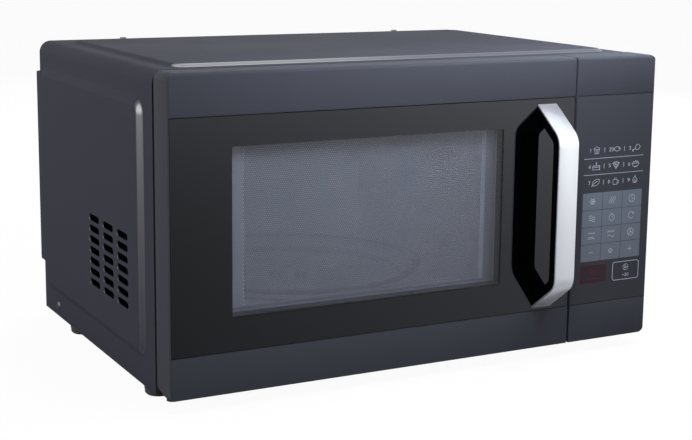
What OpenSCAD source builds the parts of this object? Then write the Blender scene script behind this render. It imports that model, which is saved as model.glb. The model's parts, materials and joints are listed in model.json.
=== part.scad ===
// Countertop microwave oven with grill and convection, and a side-hinged door.
// Millimetres. X runs from the hinge side to the control side, Y from front to back, Z up.
// Origin: the middle of the overall footprint, on the surface that the feet stand on.
// Most pieces are placed with at(x, d, z): x from the hinge side, d behind the door's face.

/* [Body] */
// Width over the door and the control panel
body_w = 515; // [505:1:530]
// Depth from the door's face to the cabinet's rear edge
body_d = 373.5; // [368:0.5:385]
// Height of the feet under the base
foot_h = 9; // [7:0.5:12]
// Thickness of the cabinet and chassis sheet
sheet_t = 0.8; // [0.6:0.1:1.2]
// Radius of the cabinet's two long top edges
wrap_r = 12; // [8:0.5:16]
// Height of the pressed field on the roof
roof_rise = 3; // [1.5:0.5:4]
// Height of the pressed fields on the sides
side_rise = 4; // [2:0.5:5]
// Depth of the pan pressed out of the rear panel
rear_bulge = 26; // [24:0.5:32]

/* [Door] */
// Width of the door
door_w = 418; // [414:0.5:420]
// Height of the door and the control panel
door_h = 283.5; // [280:0.5:290]
// Depth of the door from its face to its rear rim
door_t = 31.5; // [30:0.5:33]
// Dark gap between the door's rim and the cabinet
door_gap = 4; // [3.5:0.1:5]
// Gap between the door and the control panel
panel_gap = 2; // [1.5:0.1:3]
// Height of the door's lower edge above the cabinet's
door_lift = 4; // [4:0.5:6]
// Moulded wall of the door frame and control housing
wall = 2.5; // [2:0.1:3]
// Thickness of the door's front glass
glass_t = 3.2; // [2.8:0.1:4]
// Height of the band under the glass
low_band = 37.6; // [34:0.2:38]
// Height of the band over the glass
high_band = 37.2; // [34:0.2:38]
// How far the door opens
door_open = 100; // [90:1:105]

/* [Handle] */
// How far the handle stands out from the glass
handle_reach = 37.5; // [34:0.5:42]
// Width of the handle
handle_w = 22; // [18:0.5:26]
// Thickness of the bar with its strip
bar_t = 10.5; // [9:0.5:12]
// Thickness of the metal strip
strip_t = 2; // [1.2:0.1:3]
// Height over both legs at the glass
handle_h = 200; // [190:1:206]
// How much a leg slopes along the height
leg_slope = 28; // [24:0.5:34]
// Distance of the handle from the door's free edge
handle_inset = 22; // [20:0.5:28]

/* [Cavity] */
// Inner width of the oven cavity
cav_w = 322; // [316:1:326]
// Inner height of the oven cavity
cav_h = 208; // [202:1:212]
// Room between the oven cavity's back and the cabinet's rear edge
rear_room = 37; // [35:1:43]
// Cavity's left wall from the hinge side
cav_x = 40; // [38:0.5:42]
// Height of the cavity floor over the standing surface
cav_z = 52; // [50:0.5:56]
// Diameter of the glass tray
tray_dia = 270; // [250:1:280]
// Radius at which the rollers run
roll_r = 90; // [80:1:98]
// Diameter of a roller
roller_dia = 16; // [14:0.5:20]

/* [Hinge and latch] */
// Hinge axis from the hinge side
hinge_x = 8; // [7.5:0.1:9]
// Hinge axis behind the door's face
hinge_d = 16; // [15:0.5:17]
// Diameter of the hinge pins
pin_dia = 5; // [4:0.1:6]
// Radial running clearance of the pins in the door
pin_play = 0.08; // [0.03:0.01:0.1]
// Thickness of the hinge arms
arm_t = 3; // [2:0.1:3]
// Travel of the sprung latch key
latch_travel = 4; // [2:0.5:5]
// Travel of a switch plunger
plunger_travel = 1; // [0.6:0.1:1.5]

/* [Hidden] */
$fn = 48;

// Shared clearances
seat = 0.2;       // between parts of one body that lie in each other
free = 0.5;       // between parts that move past each other
glass_gap = 0.7;  // joint line over and under the glass and the keypad sheet
eps = 0.01;

// Places worked out from the driving sizes
x_left = -body_w / 2;
x_right = body_w / 2;
y_front = handle_reach - (handle_reach + body_d + rear_bulge) / 2;
cab_d = door_t + door_gap;              // cabinet's front edge behind the door's face
z_base = foot_h;
z_door = z_base + door_lift;
z_top = z_door + door_h;
panel_x = door_w + panel_gap;           // control panel's left edge
panel_w = body_w - panel_x;
glass_z = z_door + low_band;
glass_top = z_top - high_band;
plate_t = 1;                            // front plate and base plate
front_back = cab_d + plate_t;           // front plate's rear face
cav_d = body_d - front_back - rear_room;
cav_back = front_back + cav_d;          // cavity's rear wall, inner face
cav_cx = cav_x + cav_w / 2;
cav_cd = front_back + cav_d / 2;
cav_top = cav_z + cav_h;
floor_top = z_base + sheet_t + plate_t; // base plate's upper face
bay_left = cav_x + cav_w + sheet_t;     // component bay beside the cavity
bay_w = body_w - bay_left;

// Colours
black_paint = [0.13, 0.13, 0.15];
black_gloss = [0.05, 0.05, 0.06];
steel = [0.62, 0.63, 0.65];
zinc = [0.75, 0.76, 0.77];
dark_plastic = [0.16, 0.16, 0.17];
white_plastic = [0.86, 0.86, 0.84];

// ---------------------------------------------------------------- helpers

module at(x, d, z) {
  translate([x_left + x, y_front + d, z]) children();
}

// A box given by its spans: x from the hinge side, d behind the door's face, z
module block(x, d, z) {
  at(x[0], d[0], z[0]) cube([x[1] - x[0], d[1] - d[0], z[1] - z[0]]);
}

// Extrudes an outline drawn in X and Z through the span d
module through_d(d) {
  at(0, d[1], 0) rotate([90, 0, 0]) linear_extrude(d[1] - d[0]) children();
}

// Extrudes a profile drawn in d and Z through the span x
module through_x(x) {
  at(x[0], 0, 0) rotate([90, 0, 90]) linear_extrude(x[1] - x[0]) children();
}

// Extrudes a plan drawn in X and d through the span z
module through_z(z) {
  at(0, 0, z[0]) linear_extrude(z[1] - z[0]) children();
}

// A rectangle between two corners, with its own radius at each corner
module panel(lo, hi, bl = 0, br = 0, tr = 0, tl = 0) {
  w = hi[0] - lo[0];
  h = hi[1] - lo[1];
  translate(lo) difference() {
    square([w, h]);
    if (bl > 0) corner_waste(bl);
    if (br > 0) translate([w, 0]) mirror([1, 0]) corner_waste(br);
    if (tr > 0) translate([w, h]) mirror([1, 0]) mirror([0, 1]) corner_waste(tr);
    if (tl > 0) translate([0, h]) mirror([0, 1]) corner_waste(tl);
  }
}

module corner_waste(r) {
  difference() {
    translate([-1, -1]) square(r + 1);
    translate([r, r]) circle(r);
  }
}

// A slot with round ends, drawn in 2D, long along its first axis
module slot_2d(length, width) {
  square([length - width, width], center = true);
  for (side = [-1, 1]) translate([side * (length - width) / 2, 0]) circle(width / 2);
}

// Cylinders along each row axis
module rod_x(x, d, z, r) {
  at(x[0], d, z) rotate([0, 90, 0]) cylinder(h = x[1] - x[0], r = r);
}
module rod_d(x, d, z, r) {
  at(x, d[0], z) rotate([-90, 0, 0]) cylinder(h = d[1] - d[0], r = r);
}
module rod_z(x, d, z, r) {
  at(x, d, z[0]) cylinder(h = z[1] - z[0], r = r);
}

// Height of a soft pressed bevel at u, from 0 at its foot to 1 at its crest
function soft(u) = u * u * (3 - 2 * u);
bevel_steps = 5;

// Section of a pressed bevel that climbs from the edge at 0 inwards
function bevel_points(edge, bevel, rise) =
  [for (i = [0:bevel_steps]) let (u = i / bevel_steps) [edge - bevel * u, rise * soft(u)]];

// Pressed field with a soft bevel and round corners: base outline w by h, centred,
// rising along +Z, with a skirt that reaches under its base
module pressed_field(w, h, rise, bevel, r, skirt) {
  function section(half) = concat(
    [[half, -skirt]], bevel_points(half, bevel, rise),
    [for (p = [bevel_steps:-1:0]) let (q = bevel_points(half, bevel, rise)[p]) [-q[0], q[1]]],
    [[-half, -skirt]]);
  translate([-(w / 2 - r), 0, 0]) rotate([90, 0, 90])
    linear_extrude(w - 2 * r) polygon(section(h / 2));
  translate([0, h / 2 - r, 0]) rotate([90, 0, 0])
    linear_extrude(h - 2 * r) polygon(section(w / 2));
  for (sx = [-1, 1], sy = [-1, 1])
    translate([sx * (w / 2 - r), sy * (h / 2 - r), 0]) rotate_extrude()
      polygon(concat([[0, -skirt], [r, -skirt]], bevel_points(r, bevel, rise), [[0, rise]]));
}

// Points of a path whose inner corners are rounded
function unit(v) = v / norm(v);
function fillet(a, b, c, r, steps = 8) =
  let (
    u = unit(a - b), v = unit(c - b), half = acos(u * v) / 2,
    centre = b + unit(u + v) * r / sin(half),
    first = b + u * r / tan(half), last = b + v * r / tan(half),
    start = atan2(first[1] - centre[1], first[0] - centre[0]),
    turn = atan2(last[1] - centre[1], last[0] - centre[0]) - start,
    sweep = turn > 180 ? turn - 360 : turn < -180 ? turn + 360 : turn
  ) [for (i = [0:steps]) centre + r * [cos(start + sweep * i / steps), sin(start + sweep * i / steps)]];

// ---------------------------------------------------------------- cabinet

roof_inset = 22;        // roof field in from the sides
roof_front = 10;        // roof field behind the cabinet's front edge
roof_back = 33;         // roof field in front of the rear edge
roof_bevel = 7;
field_front = 57;       // side field's front foot behind the door's face
field_back = 8;         // side field's rear foot before the rear edge
field_low = 21;         // side field's lower foot above the door's lower edge
field_high = 25;        // side field's upper foot under the door's upper edge
field_bevel = 10;
field_r = 17;
flange = 10;            // inward lip along the wrap's lower edges
vent_l = 26;            // side louvre slots
vent_w = 4.8;
vent_pitch = [40.5, 10.6];
vent_at = [107.5, 63.4]; // first slot: behind the door's face, above the door's lower edge

module wrap_outline(inset) {
  panel([inset, z_base + inset], [body_w - inset, z_top - inset],
        tr = wrap_r - inset, tl = wrap_r - inset);
}

module roof_field(sink) {
  w = body_w - 2 * roof_inset - sink;
  h = body_d - cab_d - roof_front - roof_back - sink;
  at(body_w / 2, cab_d + roof_front + (body_d - cab_d - roof_front - roof_back) / 2, z_top - sink)
    pressed_field(w, h, roof_rise, roof_bevel, 16, wrap_r / 2);
}

module side_field(side, sink) {
  w = body_d - field_back - field_front;
  h = door_h - field_low - field_high;
  at(body_w / 2 + side * (body_w / 2 - sink), field_front + w / 2, z_door + field_low + h / 2)
    rotate([90, 0, side * 90])
      pressed_field(w - sink, h - sink, side_rise, field_bevel, field_r, wrap_r / 2);
}

module side_vents() {
  for (column = [0:2], row = [0:6])
    through_x([-side_rise - 1, body_w + side_rise + 1])
      translate([vent_at[0] + column * vent_pitch[0],
                 z_door + vent_at[1] + row * vent_pitch[1]]) slot_2d(vent_l, vent_w);
}

module outer_cabinet() {
  color(black_paint) difference() {
    union() {
      through_d([cab_d, body_d]) wrap_outline(0);
      roof_field(0);
      for (side = [-1, 1]) side_field(side, 0);
    }
    through_d([cab_d - 1, body_d + 1]) wrap_outline(sheet_t);
    roof_field(sheet_t);
    for (side = [-1, 1]) side_field(side, sheet_t);
    block([flange, body_w - flange], [cab_d - 1, body_d + 1], [z_base - 1, z_base + wrap_r]);
    side_vents();
    for (x = screw_x) rod_z(x, body_d - 6, [z_top - wrap_r, z_top + 1], screw_r + seat);
    for (z = screw_z) rod_x([-1, body_w + 1], side_screw_d, z, screw_r + seat);
  }
}

// Rear panel: a sheet inside the wrap with a pan pressed out of its middle
bulge_low = 43;         // pan above the door's lower edge
bulge_high = 30;        // pan under the door's upper edge
bulge_side = 1.7;        // pan in from the sides
bulge_slope = 1.8;       // how much the pan's sides lean in
bulge_top = 4.5;        // how much its top leans in

module bulge(sink) {
  back = body_d + rear_bulge - sink;
  lo = z_door + bulge_low + sink;
  hi = z_top - bulge_high - sink;
  left = bulge_side + sink;
  right = body_w - left;
  start = body_d - 8;
  intersection() {
    through_x([left, right]) polygon([[start, lo], [back - 2, lo], [back, lo + 3],
      [back, hi - bulge_top], [body_d, hi], [start, hi]]);
    through_z([lo, hi]) polygon([[left, start], [right, start], [right, body_d],
      [right - bulge_slope, back], [left + bulge_slope, back], [left, body_d]]);
    through_d([start, back]) panel([left, lo], [right, hi], 5, 5, 8, 8);
  }
}

module rear_panel() {
  lip = 9;
  inset = sheet_t + seat;
  color(black_paint) difference() {
    union() {
      through_d([body_d - sheet_t, body_d]) wrap_outline(inset);
      through_d([body_d - lip, body_d]) difference() {
        wrap_outline(inset);
        wrap_outline(inset + sheet_t);
      }
      intersection() {
        bulge(0);
        through_d([body_d - sheet_t, body_d + rear_bulge]) wrap_outline(inset);
      }
    }
    intersection() {
      bulge(sheet_t);
      block([0, body_w], [body_d - lip - 1, body_d + rear_bulge], [0, z_top]);
    }
    // intake slots behind the cooling fan
    for (column = [0:4], row = [0:8])
      through_d([body_d - lip, body_d + rear_bulge + 1])
        translate([fan_x - 44 + column * 22, fan_z - 36 + row * 9]) slot_2d(17, 4);
    // outlet slots over the convection motor
    for (column = [0:5], row = [0:3])
      through_d([body_d - lip, body_d + rear_bulge + 1])
        translate([cav_cx - 65 + column * 26, z_door + bulge_low + 22 + row * 9]) slot_2d(20, 4);
    rod_d(gland_x, [body_d - 2, body_d + 1], gland_z, gland_r + seat);
    for (x = rear_screw_x) rod_d(x, [body_d - 2, body_d + 1], rear_screw_z, screw_r + seat);
    for (x = screw_x) rod_z(x, body_d - 6, [z_top - wrap_r, z_top + 1], screw_r + seat);
  }
}

// Entry bush for the supply, in the rear panel under the pan
gland_x = body_w - 63;
gland_z = z_door + 24;
gland_r = 8;

module cord_gland() {
  color(dark_plastic) difference() {
    union() {
      rod_d(gland_x, [body_d, body_d + 3], gland_z, gland_r + 3);
      rod_d(gland_x, [body_d - 7, body_d + 1], gland_z, gland_r);
    }
    rod_d(gland_x, [body_d - 8, body_d + 4], gland_z, gland_r - 3.5);
  }
}

// Cabinet screws: along the rear edge, and through each side near the floor
screw_r = 2;
screw_x = [90, body_w - 90];
side_screw_d = body_d - 48.5;
screw_z = [z_door + 8.4];
rear_screw_x = [40, body_w / 2, body_w - 40];
rear_screw_z = z_door + 12;

module pan_head(r) {
  difference() {
    cylinder(h = 1.8, r1 = r, r2 = r * 0.75);
    for (turn = [0, 90]) rotate([0, 0, turn])
      translate([-r * 0.5, -0.4, 0.9]) cube([r, 0.8, 1]);
  }
}

module cabinet_screws() {
  color(steel) {
    for (x = screw_x) {
      rod_z(x, body_d - 6, [z_top - 8, z_top], screw_r);
      at(x, body_d - 6, z_top) pan_head(4);
    }
    for (z = screw_z, side = [0, 1]) {
      rod_x(side == 0 ? [0, 8] : [body_w - 8, body_w], side_screw_d, z, screw_r);
      at(side * body_w, side_screw_d, z) rotate([0, side == 0 ? -90 : 90, 0]) pan_head(4);
    }
    for (x = rear_screw_x) {
      rod_d(x, [body_d - 8, body_d], rear_screw_z, screw_r);
      at(x, body_d, rear_screw_z) rotate([-90, 0, 0]) pan_head(4);
    }
  }
}

// ---------------------------------------------------------------- chassis

foot_r = 14;
foot_x = 15.5;          // foot centre in from the sides
foot_d = [68, body_d - 83.5];
peg_r = 4;
shoulder_r = foot_x - flange - free;  // shoulder inside the wrap's lip

module base_plate() {
  side_lip = sheet_t + seat;
  rear_edge = body_d - 9 - seat;
  lip_front = front_back + 12 + seat;
  color(zinc) difference() {
    union() {
      block([side_lip, body_w - side_lip], [front_back + seat, rear_edge], [z_base + sheet_t, floor_top]);
      for (x = [side_lip, body_w - side_lip - sheet_t])
        block([x, x + sheet_t], [lip_front, rear_edge], [z_base + sheet_t, z_door + 16]);
      // stiffening beads pressed up across the floor
      for (d = [110, 240]) rod_x([30, cav_x + cav_w], d, floor_top - 1, 3);
    }
    block([0, body_w], [0, body_d], [0, z_base + sheet_t]);
    for (x = [foot_x, body_w - foot_x], d = foot_d) rod_z(x, d, [0, floor_top + 1], peg_r + seat);
    for (z = screw_z) rod_x([-1, body_w + 1], side_screw_d, z, screw_r + seat);
    // air slots under the transformer
    for (row = [0:5]) through_z([0, floor_top + 5])
      translate([470, 215 + row * 10]) slot_2d(40, 4);
  }
}

module feet() {
  color(dark_plastic) for (x = [foot_x, body_w - foot_x], d = foot_d) at(x, d, 0)
    rotate_extrude() polygon([[0, 0], [foot_r - 2.5, 0], [foot_r - 1, 1.5], [foot_r, z_base],
      [shoulder_r, z_base], [shoulder_r, z_base + sheet_t], [peg_r, z_base + sheet_t],
      [peg_r, floor_top + 2], [peg_r - 1.5, floor_top + 5], [0, floor_top + 5]]);
}

hook_z = [z_door + 97, z_door + 222];   // latch hooks' heights
hook_x = 402;                            // middle of the upper hook
hook_w = 6;
wide_hook = [396, 412];                  // the lower hook presses two switches

module front_plate() {
  inset = sheet_t + seat;
  color(black_paint) difference() {
    union() {
      through_d([cab_d, front_back]) wrap_outline(inset);
      through_d([cab_d, front_back + 12]) difference() {
        wrap_outline(inset);
        wrap_outline(inset + sheet_t);
        translate([0, z_base]) square([body_w, 3]);
      }
    }
    through_d([cab_d - 1, front_back + 1])
      panel([cav_x, cav_z], [cav_x + cav_w, cav_top], 8, 8, 8, 8);
    block([hook_x - 6, hook_x + 8], [cab_d - 1, front_back + 1], [hook_z[1] - 9, hook_z[1] + 13]);
    block([wide_hook[0] - 3, wide_hook[1] + 5], [cab_d - 1, front_back + 1],
          [hook_z[0] - 9, hook_z[0] + 13]);
    // harness opening behind the control board
    through_d([cab_d - 1, front_back + 1]) panel([432, z_door + 60], [500, z_door + 230], 6, 6, 6, 6);
  }
}

dish_r = roll_r + 20;   // round recess in the floor, where the rollers run
dish_d = 2;
track_z = cav_z - dish_d;
antenna_d = 170;        // magnetron's antenna behind the door's face
port_w = 70;            // waveguide port in the right wall
port_h = 50;
port_rise = 80;
port_d = [antenna_d - 40, antenna_d - 40 + port_w];
port_z = [cav_z + port_rise, cav_z + port_rise + port_h];
lamp_d = 265;
lamp_z = cav_top - 22;
conv_z = cav_z + cav_h / 2 - 6;
conv_r = 76;

seam_z = cav_z + 10;      // height of the seam between the floor and the walls

module cavity_box(grow) {
  panel([cav_x - grow, cav_z - grow], [cav_x + cav_w + grow, cav_top + grow],
        8 + grow, 8 + grow, 8 + grow, 8 + grow);
}

// Cavity walls and roof in one bent sheet, with a flange round the mouth
module cavity_liner() {
  color(steel) difference() {
    union() {
      through_d([front_back, cav_back]) cavity_box(sheet_t);
      // spot-welded flange
      through_d([front_back, front_back + sheet_t]) cavity_box(14);
    }
    through_d([front_back - 1, cav_back + 1]) cavity_box(0);
    block([0, body_w], [front_back - 1, cav_back + 1], [0, seam_z]);
    block([bay_left - 2, bay_left + 1], port_d, port_z);
    for (i = [-1:1], j = [-1:1])
      rod_x([bay_left - 2, bay_left + 1], lamp_d + i * 7, lamp_z + j * 7, 2);
    // steam outlet, high on the left wall
    for (i = [0:4], j = [0:2])
      rod_x([cav_x - 2, cav_x + 1], front_back + 190 + i * 9, cav_top - 50 + j * 9, 2.4);
    for (side = [-1, 1])
      rod_z(cav_cx + side * grill_gap, grill_back, [cav_top - 1, cav_top + 2], grill_r + free);
  }
}

// Floor with its round dish and its turned-up sides
module cavity_floor() {
  color(steel) difference() {
    union() {
      through_d([front_back, cav_back]) cavity_box(sheet_t);
      through_d([front_back, front_back + sheet_t]) cavity_box(14);
      rod_z(cav_cx, cav_cd, [track_z - sheet_t, cav_z], dish_r + sheet_t);
    }
    through_d([front_back - 1, cav_back + 1]) cavity_box(0);
    block([0, body_w], [front_back - 1, cav_back + 1], [seam_z, z_top]);
    rod_z(cav_cx, cav_cd, [track_z, cav_z + 1], dish_r);
    rod_z(cav_cx, cav_cd, [track_z - 2, cav_z], coupler_stem + free);
  }
}

module cavity_back() {
  color(steel) difference() {
    through_d([cav_back, cav_back + sheet_t]) cavity_box(sheet_t);
    rod_d(cav_cx, [cav_back - 1, cav_back + 2], conv_z, conv_r);
  }
}

// ---------------------------------------------------------------- turntable

coupler_stem = 7;
shaft_r = 3;
lobe_len = 20;
lobe_w = 7;
roller_w = 8;
roller_z = track_z + roller_dia / 2 + 0.3;
tray_z = roller_z + roller_dia / 2 + 0.3;
axle_r = 1.5;
bore_play = 0.06;
motor_top = track_z - sheet_t;

module turntable_motor() {
  color(zinc) {
    rod_z(cav_cx, cav_cd, [motor_top - 16, motor_top], 24);
    rod_z(cav_cx, cav_cd, [motor_top - 18, motor_top - 16], 21);
    rod_z(cav_cx, cav_cd, [motor_top, track_z + 9], shaft_r);
    // mounting ears against the underside of the floor
    difference() {
      block([cav_cx - 33, cav_cx + 33], [cav_cd - 8, cav_cd + 8], [motor_top - 1.2, motor_top]);
      for (side = [-1, 1]) rod_z(cav_cx + side * 29, cav_cd, [motor_top - 2, motor_top + 1], 2);
    }
    block([cav_cx - 12, cav_cx + 12], [cav_cd + 20, cav_cd + 30], [motor_top - 14, motor_top - 4]);
  }
}

module coupler() {
  color(white_plastic) difference() {
    union() {
      rod_z(cav_cx, cav_cd, [motor_top + free, tray_z - 8], coupler_stem);
      for (turn = [0, 120, 240]) at(cav_cx, cav_cd, tray_z - 8.5) rotate([0, 0, turn])
        linear_extrude(8.2) translate([lobe_len / 2, 0]) slot_2d(lobe_len, lobe_w);
      rod_z(cav_cx, cav_cd, [tray_z - 8.5, tray_z - 0.3], 9);
    }
    rod_z(cav_cx, cav_cd, [motor_top, track_z + 9 + free], shaft_r + bore_play);
  }
}

roller_turn = 30;       // first arm's angle from +X
module roller_ring() {
  hub = [lobe_len + 4, lobe_len + 12];
  color(white_plastic) at(cav_cx, cav_cd, 0) {
    translate([0, 0, roller_z - 3]) difference() {
      cylinder(h = 5, r = hub[1]);
      translate([0, 0, -1]) cylinder(h = 7, r = hub[0]);
    }
    for (arm = [0:2]) rotate([0, 0, roller_turn + arm * 120]) {
      translate([hub[1] - 1, -4, roller_z - 3]) cube([roll_r - roller_w / 2 - free - hub[1] + 1, 8, 5]);
      translate([roll_r - roller_w / 2 - 2, 0, roller_z]) rotate([0, 90, 0])
        cylinder(h = roller_w + 3, r = axle_r);
      translate([roll_r + roller_w / 2 + free, 0, roller_z]) rotate([0, 90, 0])
        cylinder(h = 1.5, r = axle_r + 1.2);
    }
  }
}

module roller(number) {
  color(white_plastic) at(cav_cx, cav_cd, roller_z) rotate([0, 0, roller_turn + number * 120])
    translate([roll_r - roller_w / 2, 0, 0]) rotate([0, 90, 0]) difference() {
      rotate_extrude() polygon([[0, 0], [roller_dia / 2 - 1.5, 0], [roller_dia / 2, 1.5],
        [roller_dia / 2, roller_w - 1.5], [roller_dia / 2 - 1.5, roller_w], [0, roller_w]]);
      translate([0, 0, -1]) cylinder(h = roller_w + 2, r = axle_r + bore_play);
    }
}

module glass_tray() {
  r = tray_dia / 2;
  t = 4;
  rise = 11;
  color([0.75, 0.85, 0.85, 0.45]) at(cav_cx, cav_cd, tray_z) {
    rotate_extrude($fn = 96) polygon(concat(
      [[0, 0], [r - 20, 0]],
      [for (i = [1:6]) [r - 20 + 18 * i / 6, rise * soft(i / 6)]],
      [[r - 1, rise + t - 1.5], [r, rise + t]],
      [for (i = [6:-1:1]) [r - 21.5 + 16 * i / 6, t + rise * soft(i / 6)]],
      [[r - 23, t], [0, t]]));
    // ribs under the middle that drop between the coupler's lobes
    for (turn = [60, 180, 300]) rotate([0, 0, turn]) translate([11, -4, -5]) cube([9, 8, 5.5]);
  }
}

// ---------------------------------------------------------------- microwave source

guide_x = [cav_x + cav_w + sheet_t, cav_x + cav_w + sheet_t + 37];
guide_d = [125, 215];
guide_z = [port_z[0] - 12, port_z[1] + 56];
antenna_z = guide_z[1] - 36;

module waveguide() {
  color(zinc) difference() {
    union() {
      block(guide_x, guide_d, guide_z);
      block([guide_x[0], guide_x[0] + sheet_t], [guide_d[0] - 10, guide_d[1] + 10],
            [guide_z[0] - 10, guide_z[1] + 8]);
    }
    block([guide_x[0] - 1, guide_x[1] - sheet_t], [guide_d[0] + sheet_t, guide_d[1] - sheet_t],
          [guide_z[0] + sheet_t, guide_z[1] - sheet_t]);
    rod_x([guide_x[1] - 2, guide_x[1] + 1], antenna_d, antenna_z, 12);
  }
}

module waveguide_cover() {
  color([0.72, 0.66, 0.55]) block([cav_x + cav_w - 0.6, cav_x + cav_w],
    [port_d[0] - 8, port_d[1] + 8], [port_z[0] - 8, port_z[1] + 8]);
}

module magnetron() {
  x0 = guide_x[1];
  reach = 0.578 * bay_w;
  yoke = 0.637 * reach;
  magnet = 12;
  d = [antenna_d - 40, antenna_d + 40];
  z = [antenna_z - 35, antenna_z + 35];
  color(zinc) {
    // mounting face and the yoke's three plates
    block([x0, x0 + 1.5], [d[0] - 8, d[1] + 8], z);
    for (end = [0, 1])
      block([x0, x0 + yoke], [end == 0 ? d[0] : d[1] - 1.5, end == 0 ? d[0] + 1.5 : d[1]], z);
    block([x0 + yoke - 1.5, x0 + yoke], d, z);
    // antenna in the waveguide
    rod_x([x0 - 24, x0 + 1], antenna_d, antenna_z, 8.5);
    rod_x([x0 - 30, x0 - 23], antenna_d, antenna_z, 6.5);
    // ring magnets and the anode
    rod_x([x0 + 1, x0 + magnet + 1], antenna_d, antenna_z, 27);
    rod_x([x0 + yoke - magnet - 1, x0 + yoke - 1], antenna_d, antenna_z, 27);
    rod_x([x0 + magnet, x0 + yoke - magnet], antenna_d, antenna_z, 19);
    // cooling fins
    for (i = [3:7]) block([x0 + yoke * i / 10, x0 + yoke * i / 10 + 0.8],
                          [d[0] + 1, d[1] - 1], [z[0] + 4, z[1] - 4]);
    // filter box with its two terminals
    block([x0 + yoke - 1, x0 + reach - 10], [antenna_d - 24, antenna_d + 24],
          [antenna_z - 24, antenna_z + 24]);
    for (side = [-1, 1])
      block([x0 + reach - 11, x0 + reach], [antenna_d - 3, antenna_d + 3],
            [antenna_z + side * 9 - 0.5, antenna_z + side * 9 + 0.5]);
  }
}

trans_w = 0.657 * bay_w;
trans_x = [body_w - 23 - trans_w, body_w - 23];
trans_d = [100, 158];
module transformer() {
  z0 = floor_top;
  core_h = 82;
  mid = (trans_x[0] + trans_x[1]) / 2;
  hole = 0.085 * trans_w;
  color(steel) difference() {
    union() {
      block(trans_x, trans_d, [z0 + 1.5, z0 + core_h]);
      block([trans_x[0] - 12, trans_x[1] + 12], [trans_d[0] + 6, trans_d[1] - 6], [z0, z0 + 1.5]);
    }
    for (side = [-1, 1]) block([mid + side * trans_w / 4 - hole, mid + side * trans_w / 4 + hole],
      [trans_d[0] - 1, trans_d[1] + 1], [z0 + 18, z0 + core_h - 16]);
    for (x = [trans_x[0] - 6, trans_x[1] + 6], d = [trans_d[0] + 14, trans_d[1] - 14])
      rod_z(x, d, [z0 - 1, z0 + 2], 2.6);
  }
  // primary and secondary coils round the middle limb
  for (coil = [[19, 24], [44.5, 20]])
    color([0.72, 0.4, 0.2]) at(mid, (trans_d[0] + trans_d[1]) / 2, z0 + coil[0]) difference() {
      linear_extrude(coil[1]) difference() {
        panel([-0.33 * trans_w, -46], [0.33 * trans_w, 46], 16, 16, 16, 16);
        square([0.336 * trans_w, 58.6], center = true);
      }
      // the outer limbs stand beside the coil
      for (side = [-1, 1]) translate([(side * 0.5 - 0.17) * trans_w, -29.2, -1])
        cube([0.34 * trans_w, 58.4, coil[1] + 2]);
    }
}

module capacitor() {
  z0 = floor_top;
  x = body_w - 23;
  can_l = 81.5;
  d = [foot_d[1] - 12 - can_l, foot_d[1] - 12];
  strap = [d[1] - 23.5, d[1] - 11.5];
  color(steel) {
    at(x, d[0], z0 + 26) rotate([-90, 0, 0]) linear_extrude(d[1] - d[0])
      rotate([0, 0, 90]) slot_2d(50, 28);
    // terminals, and the strap that holds the can down
    for (z = [z0 + 18, z0 + 34]) block([x - 3, x + 3], [d[1] - 1, d[1] + 9], [z - 0.5, z + 0.5]);
    difference() {
      union() {
        at(x, strap[0], z0 + 26) rotate([-90, 0, 0]) linear_extrude(strap[1] - strap[0])
          rotate([0, 0, 90]) slot_2d(52, 30);
        block([x - 28, x], strap, [z0, z0 + 1]);
      }
      block([x - 40, x + 40], [strap[0] - 1, strap[1] + 1], [z0 - 5, z0]);
    }
  }
}

module noise_filter() {
  z0 = cav_top + sheet_t;
  size = [80, 66];
  x = [cav_x + cav_w - 16 - size[0], cav_x + cav_w - 16];
  d = [cav_back - 74.5 - size[1], cav_back - 74.5];
  color([0.2, 0.42, 0.25]) block(x, d, [z0 + 7, z0 + 8.6]);
  color(white_plastic) for (px = [x[0] + 5, x[1] - 5], pd = [d[0] + 5, d[1] - 5])
    rod_z(px, pd, [z0, z0 + 7], 3);
  color([0.7, 0.4, 0.2]) at(x[0] + 24, d[0] + 22, z0 + 8.6) difference() {
    cylinder(h = 11, r = 13);
    translate([0, 0, -1]) cylinder(h = 13, r = 6);
  }
  color([0.85, 0.7, 0.2]) block([x[0] + 44, x[0] + 66], [d[0] + 10, d[0] + 22], [z0 + 8.6, z0 + 22]);
  color(steel) at(x[0] + 14, d[1] - 12, z0 + 8.6 + 4) rotate([0, 90, 0]) cylinder(h = 30, r = 4);
}

// ---------------------------------------------------------------- cooling

fan_x = bay_left + 0.514 * bay_w;
fan_z = z_base + 150;
fan_r = 0.289 * bay_w;
shroud_half = 0.381 * bay_w;
shroud_d = 344;
module fan_shroud() {
  across = [fan_x - shroud_half, fan_x + shroud_half];
  color(dark_plastic) {
    difference() {
      union() {
        block(across, [shroud_d, shroud_d + 2], [floor_top, fan_z + 58]);
        rod_d(fan_x, [shroud_d, shroud_d + 17], fan_z, fan_r + 4);
        block(across, [shroud_d - 16, shroud_d], [floor_top, floor_top + 2]);
      }
      rod_d(fan_x, [shroud_d - 1, shroud_d + 18], fan_z, fan_r + 2);
      for (x = [fan_x - fan_r, fan_x + fan_r])
        rod_z(x, shroud_d - 8, [floor_top - 1, floor_top + 3], 2);
    }
  }
}

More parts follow.
